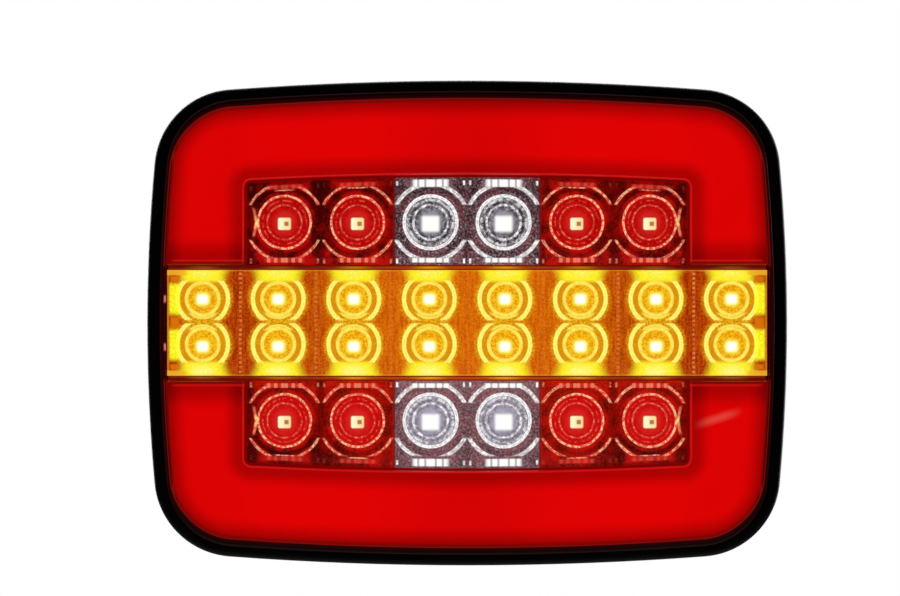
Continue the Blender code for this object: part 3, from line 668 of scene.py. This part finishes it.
def soften(bm, edges, offset, segments=2, clamp=False):
    """Rounds edges over."""
    kind = {"affect": "EDGES", "profile": 0.5, "material": -1, "clamp_overlap": clamp}
    bmesh.ops.bevel(bm, geom=edges, offset=offset, segments=segments, **kind)


def guide_mesh(side):
    bm = bmesh.new()
    verts = [bm.verts.new((x, guide_low.y, side * z)) for x, z in arch_loop()]
    edges = [bm.edges.new(pair) for pair in zip(verts, verts[1:] + verts[:1])]
    bmesh.ops.triangle_fill(bm, use_beauty=True, use_dissolve=False, edges=edges)
    thicken(bm, guide_high.y - guide_low.y)
    soften(bm, front_rim(bm), GUIDE_EDGE, segments=4, clamp=True)
    return bm


print("arch points:", len(arch_loop()))

# %% [markdown]
# Lit from behind, a guide is brightest along its middle line and falls off to its edges, most of
# all against the black rim. So its colour follows the distances to the rim, to the optic block and
# to the foot of the leg. It is a little dimmer at the crown of the arch. A thin paler line shows
# where light leaves the inner edge, and a faint reflection on the window is painted onto the lower
# right leg.

# %% Light guides: glow
LENS_COVER = 0.03
GLOW_STRENGTH = 1 / (1 - LENS_COVER) ** 2
RIM_SHADE = 0.00075
CORNER_SHADE = 0.0024
# Place and slope of the window reflection that is painted onto the lower right leg, in millimetres.
REFLECTION_X = 51.8
REFLECTION_Z = -19.1
REFLECTION_SLOPE = 0.31


def outside(x, z, half_x, half_z, corner):
    """Distance outside a round-cornered rectangle, less than 0 inside it."""
    over_x = abs(x) - half_x + corner
    over_z = abs(z) - half_z + corner
    past_x = over_x.most(0.0)
    past_z = over_z.most(0.0)
    return (past_x * past_x + past_z * past_z).root() + over_x.most(over_z).least(0.0) - corner


def from_window(x, z, inset):
    """Distance in from the window's bowed outline, where the rim's shade narrows its height."""
    half_x = MM * (WINDOW[0] - inset) - z * z / (2 * MM * WINDOW[3])
    half_z = MM * (WINDOW[1] - inset - RIM_SHADE) - x * x / (2 * MM * WINDOW[2])
    return 0.0 - outside(x, z, half_x, half_z, MM * (WINDOW[4] - inset - CORNER_SHADE))


def bow_drop(x):
    """How far the bowed edge of a block lies below its middle."""
    return x * x * (BLOCK_BOW / BLOCK_HALF_X**2 / MM)


def lit(shader, colour, base=(0.01, 0.001, 0.001, 1.0)):
    feed(shader, Base_Color=base, Roughness=0.25)
    feed(shader, Emission_Color=colour, Emission_Strength=GLOW_STRENGTH)


def paint(colour, layers):
    """Mixes (mask, colour) layers in, each over those before."""
    for mask, over in layers:
        colour = mask.mix(colour, over)
    return colour


def guide_glow():
    made, shader, place = start_material("red_guide")
    x, _, z = place.axes()
    far = abs(x)
    rim = from_window(x, z, FIT)
    top = MM * (BLOCK_TOP + BLOCK_GAP) - bow_drop(x)
    block = outside(x, z, MM * (BLOCK_HALF_X + BLOCK_GAP), top, MM * ARCH_ROUND)
    foot = abs(z) - MM * BLOCK_BOTTOM
    cloud = place.noise(0.12, 1.0) * 0.06 + 0.97
    level = (rim.rise(-0.8, 4.2) * 0.58 + 0.42) * (block.rise(0.9, 4.6) * 0.44 + 0.56)
    lobes = far.rise(2.0, 24.0) * 0.11 + 0.89 - far.rise(40.0, 50.0) * 0.05
    level = level * (foot.rise(1.6, 6.5) * 0.42 + 0.58) * cloud * lobes
    # A faint reflection on the window, painted onto the lower right leg as a pale streak.
    window_reflection = (z - REFLECTION_Z - (x - REFLECTION_X) * REFLECTION_SLOPE).band(0.0, 0.6, 1.6)
    layers = [
        (block.band(0.2, 0.12, 0.2) * 0.7, srgb(214, 26, 22)),
        (foot.band(0.85, 0.2, 0.25) * rim.rise(0.5, 2.0) * 0.7, srgb(196, 22, 18)),
        (foot.fall(0.3, 0.8), srgb(112, 8, 5)),
        (rim.fall(0.0, 0.3) * 0.7, srgb(110, 8, 6)),
        (window_reflection * x.band(51.0, 3.2, 4.4) * 0.3, srgb(238, 120, 104)),
    ]
    lit(shader, paint(level.mix(BLACK, srgb(224, 1, 2)), layers))
    return made


red_guide = guide_glow()
show("tail_arch_upper", guide_mesh(1), red_guide, ["upper_light_guide"])
show("tail_arch_lower", guide_mesh(-1), red_guide, ["lower_light_guide"])

# %% [markdown]
# Each light source shines through a lens of its own: a low dome, a fine ring and a high ring, with
# parts of a larger ring in the corners and bars above and below. The panel is a bevelled plate,
# and its ridges are turned about each cell's centre and stand on it, as on the moulded part. The
# outer bars follow the bow of the block. The strip's lenses are smaller, and its lower row lies
# slightly above its sources.

# %% Optic panels: shape
PANEL_EDGE = 0.0003
FINE_RING = 0.0035
MAIN_RING = 0.00536
CORNER_ARC = 0.0078
CORNER_STARTS = (0.5, 2.02, 3.64, 5.16)
CORNER_SWEEP = 0.62
INNER_BAR = 0.01275
INNER_BAR_HALF = (0.0036, 0.0004)
OUTER_BAR_INSET = 0.00115
OUTER_BAR_HALF = (0.0032, 0.0003)
BAR_RISE = 0.0003
DOME_RISE = 0.0005
BLOCK_DOME = 0.003
STRIP_DOME = 0.0029
STRIP_RING = 0.0033
STRIP_ARC = 0.00515
STRIP_LINK = 0.0039
STRIP_SWEEP = 1.5


def columns(count, pitch):
    return [pitch * (column - (count - 1) / 2) for column in range(count)]


def panel_plate(left, right, low, top_of, sides):
    """A bevelled plate whose far edge follows top_of, mirrored to below by sides = -1."""
    bm = bmesh.new()
    bmesh.ops.create_grid(bm, x_segments=16, y_segments=2, size=0.5)
    for vert in bm.verts:
        x = left + (right - left) * (vert.co.x + 0.5)
        vert.co = (x, OPTIC_FRONT, sides * (low + (top_of(x) - low) * (vert.co.y + 0.5)))
    thicken(bm, OPTIC_BACK - OPTIC_FRONT)
    soften(bm, front_rim(bm), PANEL_EDGE)
    return bm


def bar(bm, x, z, half):
    """A bevelled bar that stands on the panel."""
    size = (2 * half[0], 2 * BAR_RISE, 2 * half[1], 1.0)
    spread = Matrix.Translation((x, OPTIC_FRONT, z)) @ Matrix.Diagonal(size)
    verts = bmesh.ops.create_cube(bm, size=1.0, matrix=spread)["verts"]
    soften(bm, list({edge for vert in verts for edge in vert.link_edges}), BAR_RISE / 2)


def dome(bm, centre, radius):
    turns = [math.pi / 2 * i / 5 for i in range(6)]
    profile = [(radius * math.cos(a), OPTIC_FRONT - DOME_RISE * math.sin(a)) for a in turns]
    root = OPTIC_FRONT + RIDGE_ROOT
    turn(bm, centre, profile + [(0.0, root), (radius, root)], 32)


def block_cell(bm, centre):
    x, z = centre
    dome(bm, centre, BLOCK_DOME)
    turn(bm, centre, ridge(FINE_RING, 0.0003, 0.0002), 40)
    turn(bm, centre, ridge(MAIN_RING, 0.0006, 0.0004), 48)
    for start in CORNER_STARTS:
        turn(bm, centre, ridge(CORNER_ARC, 0.0005, 0.0003), 10, start, CORNER_SWEEP)
    bar(bm, x, math.copysign(INNER_BAR, z), INNER_BAR_HALF)
    bar(bm, x, math.copysign(block_top(x) - OUTER_BAR_INSET, z), OUTER_BAR_HALF)


def block_mesh(node, side):
    low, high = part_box(node)
    bm = panel_plate(low.x, high.x, BLOCK_BOTTOM, block_top, side)
    for x in columns(BLOCK_COLUMNS, BLOCK_PITCH):
        if low.x < x < high.x:
            block_cell(bm, (x, side * BLOCK_ROW + LENS_RISE))
    merge(bm)
    return bm


def strip_mesh():
    bm = panel_plate(strip_low.x, strip_high.x, strip_low.z, lambda x: strip_high.z, 1)
    for side in (1, -1):
        for x in columns(STRIP_COLUMNS, STRIP_PITCH):
            centre = (x, side * STRIP_LENS_ROW + STRIP_LENS_RISE)
            dome(bm, centre, STRIP_DOME)
            turn(bm, centre, ridge(STRIP_RING, 0.0003, 0.0002), 40)
            for start in (-STRIP_SWEEP / 2, math.pi - STRIP_SWEEP / 2):
                turn(bm, centre, ridge(STRIP_ARC, 0.0006, 0.0003), 16, start, STRIP_SWEEP)
    merge(bm)
    return bm


print("cells:", BLOCK_COLUMNS, "in a block,", 2 * STRIP_COLUMNS, "in the strip")

# %% [markdown]
# The lit look of a stop or reverse cell is painted from the distance to its own centre. Each
# feature is a mask, mixed in over what lies below it: the ground with its dark corners, the disc
# round the source, the bright rings, the corner arcs and the bars, and last the square source.
# Fine noise breaks the rings up as the moulded prisms do.

# %% Stop and reverse cells: masks
SOURCE_DROP = 0.32
PRISMS = 4.4


def cell_place(x, z, pitch, row, rise=0.0):
    """Position from the centre of the nearest cell: across, up, and the distance."""
    across = x.maths("WRAP", x, MM * pitch, 0.0) - MM * pitch / 2
    up = z - z.maths("SIGN", z) * (MM * row) - MM * rise
    return across, up, (across * across + up * up).root()


def block_glow(name, tones):
    made, shader, place = start_material(name)
    x, _, z = place.axes()
    across, up, reach = cell_place(x, z, BLOCK_PITCH, BLOCK_ROW, LENS_RISE)
    side, tall, far, height = abs(across), abs(up), abs(x), abs(z)
    inset = MM * BLOCK_TOP - height - bow_drop(x)
    below = z.fall(-5.0, 5.0)
    drift = x.rise(-40.0, 40.0)
    glitter = place.noise(1.7, 1.0).rise(0.45, 0.56)
    speck = place.noise(1.3, 1.0).rise(0.44, 0.56)
    grain = place.noise(2.4, 1.0).rise(0.44, 0.56)
    blotch = place.noise(0.36, 2.0).rise(0.38, 0.62)
    rare = place.noise(2.0, 1.0).rise(0.58, 0.66)
    spark = (glitter * 0.75 + 0.12).mix(tones.dull, tones.ring)
    faint = (speck * tones.arc + 0.1).mix(tones.dull, tones.ring)
    # The ground: flecks, warm light from the strip, and the dark round each lens.
    warm = below * (tones.spill + height.fall(12.0, 19.0) * 0.2) + far.fall(6.0, 44.0) * 0.14
    warm = warm + drift * tones.drift
    moat = reach.band(6.8, 0.5, 0.7) * (0.9 - inset.rise(3.0, 8.0) * 0.3)
    corners = side.rise(4.2, 6.0) * inset.fall(2.4, 6.4) * 0.96
    gaps = (side.rise(6.0, 7.0) * 0.75).most(inset.fall(0.2, 0.9) * 0.6)
    shade = moat.most(corners).most(gaps) * (1.0 - grain * 0.12)
    washed = far.fall(14.0, 38.0) * (below * 0.35 + 0.2) + drift * 0.12
    layers = [
        (grain * tones.grain, tones.fleck),
        (rare * tones.flake, tones.dull),
        (warm * (grain * 0.4 + 0.6), tones.warm),
        (shade * (1.0 - washed) * tones.shade, tones.deep),
    ]
    # The disc round the source, the rings and the corner arcs.
    inner = below.mix(tones.inner, tones.low_inner)
    disc = (below * 0.4).mix((speck * 0.5).mix(tones.disc, inner), inner)
    broken = (speck * 0.8 + tones.whole) * tones.fine * 0.7
    fine = reach.band(MM * FINE_RING, tones.thin, 0.22) * (speck * 0.7 + 0.3)
    corner = reach.band(MM * CORNER_ARC, tones.arc_wide, 0.2) * tall.band(5.4, 1.8, 0.4)
    layers += [
        (reach.fall(4.9, 5.3), disc),
        (reach.fall(4.9, 5.1) * rare * tones.flake, tones.dull),
        (reach.fall(1.6, 3.4) * (grain * 0.3 + 0.7), inner),
        (reach.fall(1.5, 2.9) * tones.halo, tones.core),
        (reach.band(tones.mid_at, tones.mid, 0.2) * broken, spark),
        (fine * tones.fine, spark),
        (reach.band(MM * MAIN_RING, tones.wide, 0.12), spark),
        (corner * (glitter * 0.4 + 0.6), faint),
    ]
    # The ribbed bars, the marks beside them, and the glints at the block's ends.
    prisms = side.maths("SINE", side * PRISMS).rise(tones.notch, tones.notch + 0.7)
    ribbed = prisms * 0.3 + 0.7
    inner_bar = height.band(MM * INNER_BAR, 0.45, 0.3) * side.fall(3.4, 4.4)
    shine = (prisms * tones.shine).mix(tones.dull, tones.ring)
    outer_bar = inset.band(MM * OUTER_BAR_INSET, tones.bar, 0.3) * side.fall(3.0, 4.2)
    far_shine = (prisms * tones.far_shine).mix(tones.dull, tones.ring)
    line = inset.band(MM * OUTER_BAR_INSET + 0.66, 0.12, 0.16) * side.fall(1.4, 2.4)
    ticks = height.band(12.6, 0.5, 0.2) + inset.band(1.1, 0.45, 0.2) * tones.tick
    slant = far - MM * BLOCK_HALF_X + 1.9 - tall * 0.2
    glint = slant.band(0.0, 0.26, 0.3) * tall.fall(2.2, 3.2)
    flare = tall.fall(0.2, 1.6).mix(srgb(250, 120, 90), srgb(255, 214, 126))
    layers += [
        (inner_bar * ribbed, shine),
        (outer_bar * ribbed * tones.far_bar, far_shine),
        (line * tones.line, spark),
        (side.band(6.8, 0.22, 0.2) * ticks * tones.fine, faint),
        (glint * (speck * 0.4 + 0.6), flare),
    ]
    # The square source, with the dark die on its face.
    half_x, half_z, soft = tones.core_half
    core = outside(across, up + SOURCE_DROP, half_x, half_z, 0.4)
    die = across.band(0.42, 0.44, 0.3) * up.band(-SOURCE_DROP, 0.44, 0.3)
    layers += [
        (core.fall(-soft, soft), across.rise(-1.3, 1.0).mix(tones.core, tones.core_side)),
        (die * tones.die, srgb(160, 100, 34)),
    ]
    lit(shader, paint(blotch.mix(tones.deep, tones.floor), layers))
    return made


print("cell pitch in mm:", MM * BLOCK_PITCH)

# %% [markdown]
# Red and clear cells have the same masks. They differ in their colours, in how wide their rings
# are and in how strongly each feature shows.

# %% Stop and reverse cells: colours
TONES = {  # name: red stop cells, clear reverse cells
    "deep": (srgb(46, 0, 0), srgb(34, 14, 18)),
    "floor": (srgb(172, 3, 3), srgb(104, 42, 46)),
    "fleck": (srgb(186, 12, 10), srgb(134, 118, 126)),
    "warm": (srgb(210, 34, 12), srgb(156, 106, 112)),
    "disc": (srgb(174, 4, 5), srgb(54, 48, 56)),
    "inner": (srgb(206, 13, 12), srgb(146, 139, 150)),
    "low_inner": (srgb(214, 17, 15), srgb(172, 163, 184)),
    "dull": (srgb(224, 50, 42), srgb(206, 200, 204)),
    "ring": (srgb(255, 200, 152), srgb(255, 255, 252)),
    "core": (srgb(255, 250, 205), srgb(255, 255, 255)),
    "core_side": (srgb(255, 222, 160), srgb(255, 255, 250)),
    "core_half": ((1.3, 1.22, 0.15), (1.75, 1.6, 0.4)),  # wide, tall, soft edge
    "die": (0.9, 0.0),
    "halo": (0.015, 0.08),
    # The ground: warm spill, its drift to the right, flecks and shade.
    "spill": (0.14, 0.36),
    "drift": (0.12, 0.0),
    "grain": (0.2, 0.45),
    "flake": (0.15, 0.4),
    "shade": (1.0, 0.85),
    # The rings: half widths, and how strong and whole the fine ones are.
    "wide": (0.23, 0.34),
    "thin": (0.15, 0.24),
    "mid": (0.1, 0.3),
    "mid_at": (4.4, 4.62),
    "fine": (0.42, 1.0),
    "whole": (0.0, 0.25),
    "arc": (0.7, 0.9),
    "arc_wide": (0.25, 0.4),
    # The bars: gloss, weight, width and notches, and the marks beside them.
    "shine": (0.3, 0.95),
    "far_shine": (0.08, 0.95),
    "far_bar": (0.6, 1.0),
    "bar": (0.4, 0.75),
    "notch": (-0.3, -0.95),
    "line": (0.85, 0.0),
    "tick": (0.1, 1.0),
}
sets = [SimpleNamespace(**dict(zip(TONES, values))) for values in zip(*TONES.values())]
red_optic = block_glow("red_optic", sets[0])
clear_optic = block_glow("clear_optic", sets[1])
for level, side in (("upper", 1), ("lower", -1)):
    for hand in ("left", "right"):
        node = f"stop_optic_{level}_{hand}"
        show(f"stop_lenses_{level}_{hand}", block_mesh(node, side), red_optic, [node])
    node = f"reverse_optic_{level}"
    show(f"reverse_lenses_{level}", block_mesh(node, side), clear_optic, [node])

# %% [markdown]
# The amber strip is two rows of eight cells. Here the light also spills outward from each row,
# as a bright yellow patch against the strip's long edges, and against its ends. The rows mirror
# each other, so the height is measured outward from the row.

# %% Indicator glow
BEAD_PITCH = 0.95
STREAK_STRETCH = (1.0, 1.0, 0.12)


def strip_glow():
    made, shader, place = start_material("amber_optic")
    x, _, z = place.axes()
    across, up, reach = cell_place(x, z, STRIP_PITCH, STRIP_LENS_ROW, STRIP_LENS_RISE)
    out = up * z.maths("SIGN", z)
    side, far, height = abs(across), abs(x), abs(z)
    end = MM * strip_high.x - far
    outward = far.rise(8.0, 48.0)
    speck = place.noise(1.3, 1.0).rise(0.42, 0.58)
    grain = place.noise(2.4, 1.0).rise(0.42, 0.58)
    sockets = {0: place, 1: STREAK_STRETCH}
    drawn = place.node("ShaderNodeVectorMath", {"operation": "MULTIPLY"}, sockets)
    streak = drawn.noise(2.0, 2.0).rise(0.36, 0.64)
    # The ground, and beads of light in the gaps between cells.
    deep = outward.mix(srgb(196, 82, 4), srgb(146, 34, 1))
    pale = outward.mix(srgb(226, 120, 8), srgb(196, 78, 5))
    beads = z.maths("WRAP", z, BEAD_PITCH, 0.0).band(0.47, 0.26, 0.2) * (speck * 0.6 + 0.3)
    beads = side.rise(7.3, 7.5) * beads * (outward * 0.6 + 0.08)
    # The lens: glow, groove, the patch outward of it, arcs, disc, ring and link.
    gold = (grain * 0.6).mix(srgb(214, 136, 6), srgb(252, 210, 34))
    groove = reach.band(4.18, 0.5, 0.16) * out.rise(-3.6, -2.2)
    patch = out.rise(3.0, 4.0) * (side - out * 0.4).fall(0.9, 4.0)
    bright = patch * out.rise(3.6, 5.4) * side.fall(0.4, 3.6)
    arcs = reach.band(MM * STRIP_ARC, 0.44, 0.14) * out.band(-0.3, 4.0, 0.4)
    disc = (grain * 0.6).mix(srgb(230, 150, 6), srgb(255, 216, 36))
    ring = reach.band(MM * STRIP_RING, 0.36, 0.14) * (speck * 0.3 + 0.7)
    link = reach.band(MM * STRIP_LINK, 0.2, 0.25) * out.fall(-3.2, -2.6)
    layers = [
        (beads, srgb(250, 152, 84)),
        (reach.fall(5.2, 6.7) * 0.95, gold),
        (groove * (speck * 0.3 + 0.6), srgb(216, 140, 10)),
        (patch * (grain * 0.1 + 0.9), srgb(254, 242, 40)),
        (bright * (grain * 0.3 + z.fall(-2.0, 2.0) * 0.35 + 0.15), srgb(255, 255, 150)),
        (arcs * (grain * 0.2 + 0.8), srgb(255, 246, 116)),
        (reach.fall(3.2, 3.4), disc),
        (ring, srgb(252, 230, 92)),
        (link * 0.85, srgb(255, 240, 96)),
    ]
    # The ends and corners of the strip, its edge all round, and last the sources.
    ends = end.band(1.5, 1.05, 0.7) * out.band(0.0, 3.1, 1.4)
    squares = end.band(1.6, 0.9, 0.6) * (height.band(8.95, 0.55, 0.5) + height.fall(0.8, 1.6))
    corner = height.rise(9.5, 9.9) * end.fall(3.2, 4.8)
    edge = end.fall(0.25, 0.5).most(height.rise(10.4, 10.6))
    core = outside(across, height - (MM * STRIP_ROW - 0.06), 1.18, 1.08, 0.7)
    layers += [
        (ends * (grain * 0.2 + 0.8), srgb(255, 252, 40)),
        (squares * 0.95, srgb(217, 113, 9)),
        (corner * 0.85, srgb(242, 176, 42)),
        (edge * 0.35, srgb(240, 170, 40)),
        (core.fall(-0.2, 0.85), srgb(255, 246, 88)),
        (core.fall(-0.5, 0.22), srgb(255, 255, 248)),
    ]
    ground = (streak * 0.5 + grain * 0.5).mix(deep, pale)
    lit(shader, paint(ground, layers), (0.05, 0.015, 0.001, 1.0))
    return made


show("indicator_lenses", strip_mesh(), strip_glow(), ["indicator_optic"])

# %% [markdown]
# The window is a clear crowned moulding with a skirt that stands on its seal. From the front its
# middle is all but invisible, while its skirt is deep. The skirt's dark red, the brighter red line
# at its inner edge and the pale dashes on its left beside the strip's rows are painted light: glow
# from the guides and reflections of the strip. So one material mixes a clear surface with a
# glossy one: thinly over the middle, and fully round the edge.

# %% Window
CROWN = 0.002496
CROWN_RINGS = 12
CROWN_HUB = 0.03
WINDOW_WALL = 0.002
WINDOW_ROUND = 0.0014


def crowned(outline, depth):
    """Sections over the crown, from near the middle to the edge."""
    shares = [CROWN_HUB + (1 - CROWN_HUB) * i / CROWN_RINGS for i in range(CROWN_RINGS)]
    return [([(x * s, z * s) for x, z in outline], depth - CROWN * (1 - s**2)) for s in shares]


def window_skin():
    edge = lens_low.y + CROWN
    inside = edge + WINDOW_WALL
    shy = WINDOW_ROUND - SKIRT
    inner = bowed(WINDOW)
    sections = crowned(inner, inside)
    sections += [(inner, inside), (inner, lens_high.y), (bowed(WINDOW, -SKIRT), lens_high.y)]
    sections += rounded(WINDOW, -SKIRT, shy, edge + WINDOW_ROUND, edge)
    sections += reversed(crowned(bowed(WINDOW, shy), edge))
    return skin(sections)


def window_finish():
    made, shader, place = start_material("clear_lens")
    x, _, z = place.axes()
    height = abs(z)
    inward = from_window(x, z, 0.0)
    skirt = inward.fall(-0.1, 0.1)
    # Painted light from the guides: a dark red on the skirt and a brighter red line at its inner
    # edge.
    colour = inward.rise(-1.1, -0.2).mix(srgb(16, 1, 1), srgb(40, 2, 2))
    line = inward.band(-0.05, 0.14, 0.2) * height.rise(11.0, 12.0)
    colour = line.mix(colour, srgb(135, 17, 14))
    # Painted reflections of the strip's light: pale dashes on the left edge, level with its rows.
    strip_reflection = (height - MM * STRIP_ROW).band(0.0, 0.8, 0.8) * (0.0 - x).rise(50.0, 51.0)
    strip_reflection = strip_reflection * inward.band(0.2, 0.2, 0.3)
    colour = strip_reflection.mix(colour, srgb(228, 132, 116))
    glow = skirt.most(strip_reflection).mix(BLACK, colour)
    smudge = place.noise(0.2, 2.0)
    feed(shader, Base_Color=(0.002, 0.001, 0.001, 1.0), Roughness=smudge * 0.06 + 0.03)
    feed(shader, Specular_IOR_Level=0.12, Emission_Color=glow, Emission_Strength=1.0)
    clear = place.node("ShaderNodeBsdfTransparent", {}, {})
    gloss = Signal(made.node_tree, shader.outputs[0])
    cover = skirt.most(strip_reflection * 0.8).most(LENS_COVER)
    surface = place.node("ShaderNodeMixShader", {}, {0: cover, 1: clear, 2: gloss})
    feed(made.node_tree.nodes["Material Output"], Surface=surface)
    return made


show("clear_window", window_skin(), window_finish(), ["front_lens"])

# %% [markdown]
# The rest stays as the frame has it, because it is behind the optics or hardly seen: the inner
# frame, whose two ribs part the amber strip from the blocks, the reflectors, the board and what
# is soldered to it. Each still gets a finish of its own that varies over its surface. The inner
# frame also glows with painted light from the lamp's sources: dim red, warmer on the ribs near
# the middle, with amber spots where the ribs catch light from the strip's cells.

# %% Finishes of the pieces behind
RIB_FRONT = (-26.6, -25.0)
SOURCE_FACE = (-14.5, -14.0)
TRACK_PITCH = 3.2


def frame_finish():
    made, shader, place = start_material("dark_plastic")
    x, y, z = place.axes()
    height = abs(z)
    # Painted light: a red glow, warmer on the ribs near the middle, and amber spots in line with
    # the strip's cells.
    middle = (abs(x) + z.rise(-1.0, 1.0) * 10.0).fall(8.0, 54.0)
    rib = y.fall(*RIB_FRONT)
    glow = (middle * rib).mix(srgb(104, 8, 4), srgb(178, 68, 10))
    across, _, _ = cell_place(x, z, STRIP_PITCH, STRIP_ROW)
    amber_light_spot = abs(across).fall(0.0, 4.5) * height.fall(10.7, 12.2) * rib
    glow = (amber_light_spot * (middle * 0.75 + 0.2)).mix(glow, srgb(244, 170, 14))
    glow = height.rise(12.0, 13.0).mix(glow, srgb(112, 3, 2))
    colour = place.noise(0.6, 2.0).mix((0.012, 0.002, 0.002, 1), (0.03, 0.005, 0.005, 1))
    feed(shader, Base_Color=colour, Roughness=0.4)
    feed(shader, Emission_Color=glow, Emission_Strength=GLOW_STRENGTH)
    return made


def board_finish():
    made, shader, place = start_material("board_green")
    x, _, _ = place.axes()
    course = x + place.noise(0.12, 1.0) * 6.0
    tracks = course.maths("WRAP", course, TRACK_PITCH, 0.0).band(TRACK_PITCH / 2, 0.35, 0.1)
    tracks = tracks * place.noise(0.09, 0.0).rise(0.45, 0.5)
    mask = place.noise(1.2, 2.0).mix((0.01, 0.07, 0.028, 1), (0.016, 0.1, 0.04, 1))
    colour = tracks.mix(mask, (0.03, 0.17, 0.07, 1))
    feed(shader, Base_Color=colour, Roughness=tracks * 0.1 + 0.35)
    return made


def source_finish(name, rim, light):
    """A lit package: a pale body round a dished, glowing middle."""
    made, shader, place = start_material(name)
    _, y, _ = place.axes()
    body = place.noise(3.0, 1.0).mix(rim, (0.9, 0.9, 0.86, 1.0))
    feed(shader, Base_Color=body, Roughness=0.35)
    glow = y.fall(*SOURCE_FACE).mix(BLACK, light)
    feed(shader, Emission_Color=glow, Emission_Strength=1.0)
    return made


PLAIN = {  # name: dark, pale, scale, roughness and its range, metallic
    "screw_steel": ((0.3, 0.3, 0.31, 1), grey(0.52), 1.5, (0.25, 0.2), 1.0),
    "white_plastic": ((0.72, 0.72, 0.7, 1), (0.84, 0.84, 0.82, 1), 0.4, (0.4, 0.2)),
    "chip_black": ((0.012, 0.012, 0.013, 1), (0.03, 0.03, 0.033, 1), 2.0, (0.45, 0.2)),
    "can_aluminium": ((0.6, 0.6, 0.61, 1), grey(0.8), 1.2, (0.2, 0.2), 1.0),
    "terminal_plastic": ((0.45, 0.43, 0.38, 1), (0.6, 0.57, 0.5, 1), 0.8, (0.35, 0.2)),
}
SOURCES = {  # name: body, light
    "red_led": ((0.8, 0.7, 0.62, 1), srgb(255, 120, 90)),
    "white_led": ((0.8, 0.8, 0.76, 1), srgb(255, 255, 250)),
    "amber_led": ((0.85, 0.75, 0.5, 1), srgb(255, 210, 90)),
}
finishes = {name: mottled(name, *values) for name, values in PLAIN.items()}
finishes |= {name: source_finish(name, *values) for name, values in SOURCES.items()}
finishes["dark_plastic"] = frame_finish()
finishes["board_green"] = board_finish()
finishes["black_rubber"] = black_rubber
carried = 0
for name, slot in slots.items():
    node = frame["nodes"][name]
    if not node.hide_render:
        node.data.materials.clear()
        node.data.materials.append(finishes[slot])
        carried += 1
print("solids carried over:", carried)

# %% [markdown]
# The photo has a plain white ground and hardly any reflections. So the world is white to the
# camera but dim to everything else, and dark ahead of the lens, and large soft lights stand above
# and behind. The floor is a pale sheet far below the lamp, out of the level view. It is bright
# only to the camera, so it throws no light up.

# %% World, lights and floor
FLOOR_DROP = -1.0
FLOOR_HALF = 3.0
STUDIO_LIGHTS = {  # name: place, size, power
    "top_light": ((0.15, 1.2, 0.8), 1.2, 14.0),
    "back_light": ((-0.7, 1.1, 0.3), 1.0, 12.0),
    "side_light": ((1.0, 0.85, 0.1), 0.8, 7.0),
}


def make_world():
    world = bpy.data.worlds.new("studio")
    bpy.context.scene.world = world
    world.use_nodes = True
    tree = world.node_tree
    coords = Signal(tree, tree.nodes.new("ShaderNodeTexCoord").outputs["Generated"])
    _, ahead, height = coords.axes()
    seen = coords.node("ShaderNodeLightPath", {}, {}, "Is Camera Ray")
    soft = (ahead.rise(-0.1, 0.9) * 0.8 + 0.02) * (height.rise(-0.8, 1.0) * 0.7 + 0.3)
    dim = soft.mix(BLACK, (0.9, 0.92, 0.95, 1.0))
    feed(tree.nodes["Background"], Color=seen.mix(dim, grey(1.0)))


def area_light(name, place, size, power):
    """A round soft light that faces the lamp."""
    data = bpy.data.lights.new(name, "AREA")
    data.shape = "DISK"
    data.size = size
    data.energy = power
    light = bpy.data.objects.new(name, data)
    light.location = place
    light.rotation_euler = (-Vector(place)).to_track_quat("-Z", "Y").to_euler()
    bpy.context.scene.collection.objects.link(light)


def make_floor():
    bm = bmesh.new()
    bmesh.ops.create_grid(bm, x_segments=1, y_segments=1, size=FLOOR_HALF)
    bmesh.ops.translate(bm, verts=bm.verts[:], vec=(0.0, 0.0, FLOOR_DROP))
    made, shader, place = start_material("pale_floor")
    seen = place.node("ShaderNodeLightPath", {}, {}, "Is Camera Ray")
    feed(shader, Base_Color=place.noise(0.01, 2.0).mix(grey(0.3), grey(0.34)), Roughness=0.6)
    feed(shader, Emission_Color=seen.mix(BLACK, grey(0.9)), Emission_Strength=1.0)
    floor = add_object("floor", bm, made)
    floor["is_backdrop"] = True


make_world()
make_floor()
for name, (place, size, power) in STUDIO_LIGHTS.items():
    area_light(name, place, size, power)
bpy.context.scene.view_settings.view_transform = "Standard"

# %% [markdown]
# The photo was taken level and straight on from far off: the lamp's sides don't show. A long lens,
# a little above and to the left of the lamp's centre, gives the same framing.

# %% Camera
FIELD_WIDTH = 0.1826
CAMERA_DISTANCE = 1.2
CAMERA_X = -0.00348
CAMERA_Z = 0.00506
camera_data = bpy.data.cameras.new("camera")
camera_data.sensor_width = 36.0
camera_data.lens = camera_data.sensor_width * CAMERA_DISTANCE / FIELD_WIDTH
camera = bpy.data.objects.new("camera", camera_data)
camera.location = (CAMERA_X, housing_low.y - CAMERA_DISTANCE, CAMERA_Z)
camera.rotation_euler = (math.pi / 2, 0.0, 0.0)
bpy.context.scene.collection.objects.link(camera)
bpy.context.scene.camera = camera
print("focal length in mm:", round(camera_data.lens, 1))

# %% [markdown]
# Last, the finished model is measured against the box of the solids it started from.

# %% Size
new_low, new_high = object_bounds()
growth = (*(cad_low - new_low), *(new_high - cad_high))
print("grown by mm:", [round(MM * v, 4) for v in growth])
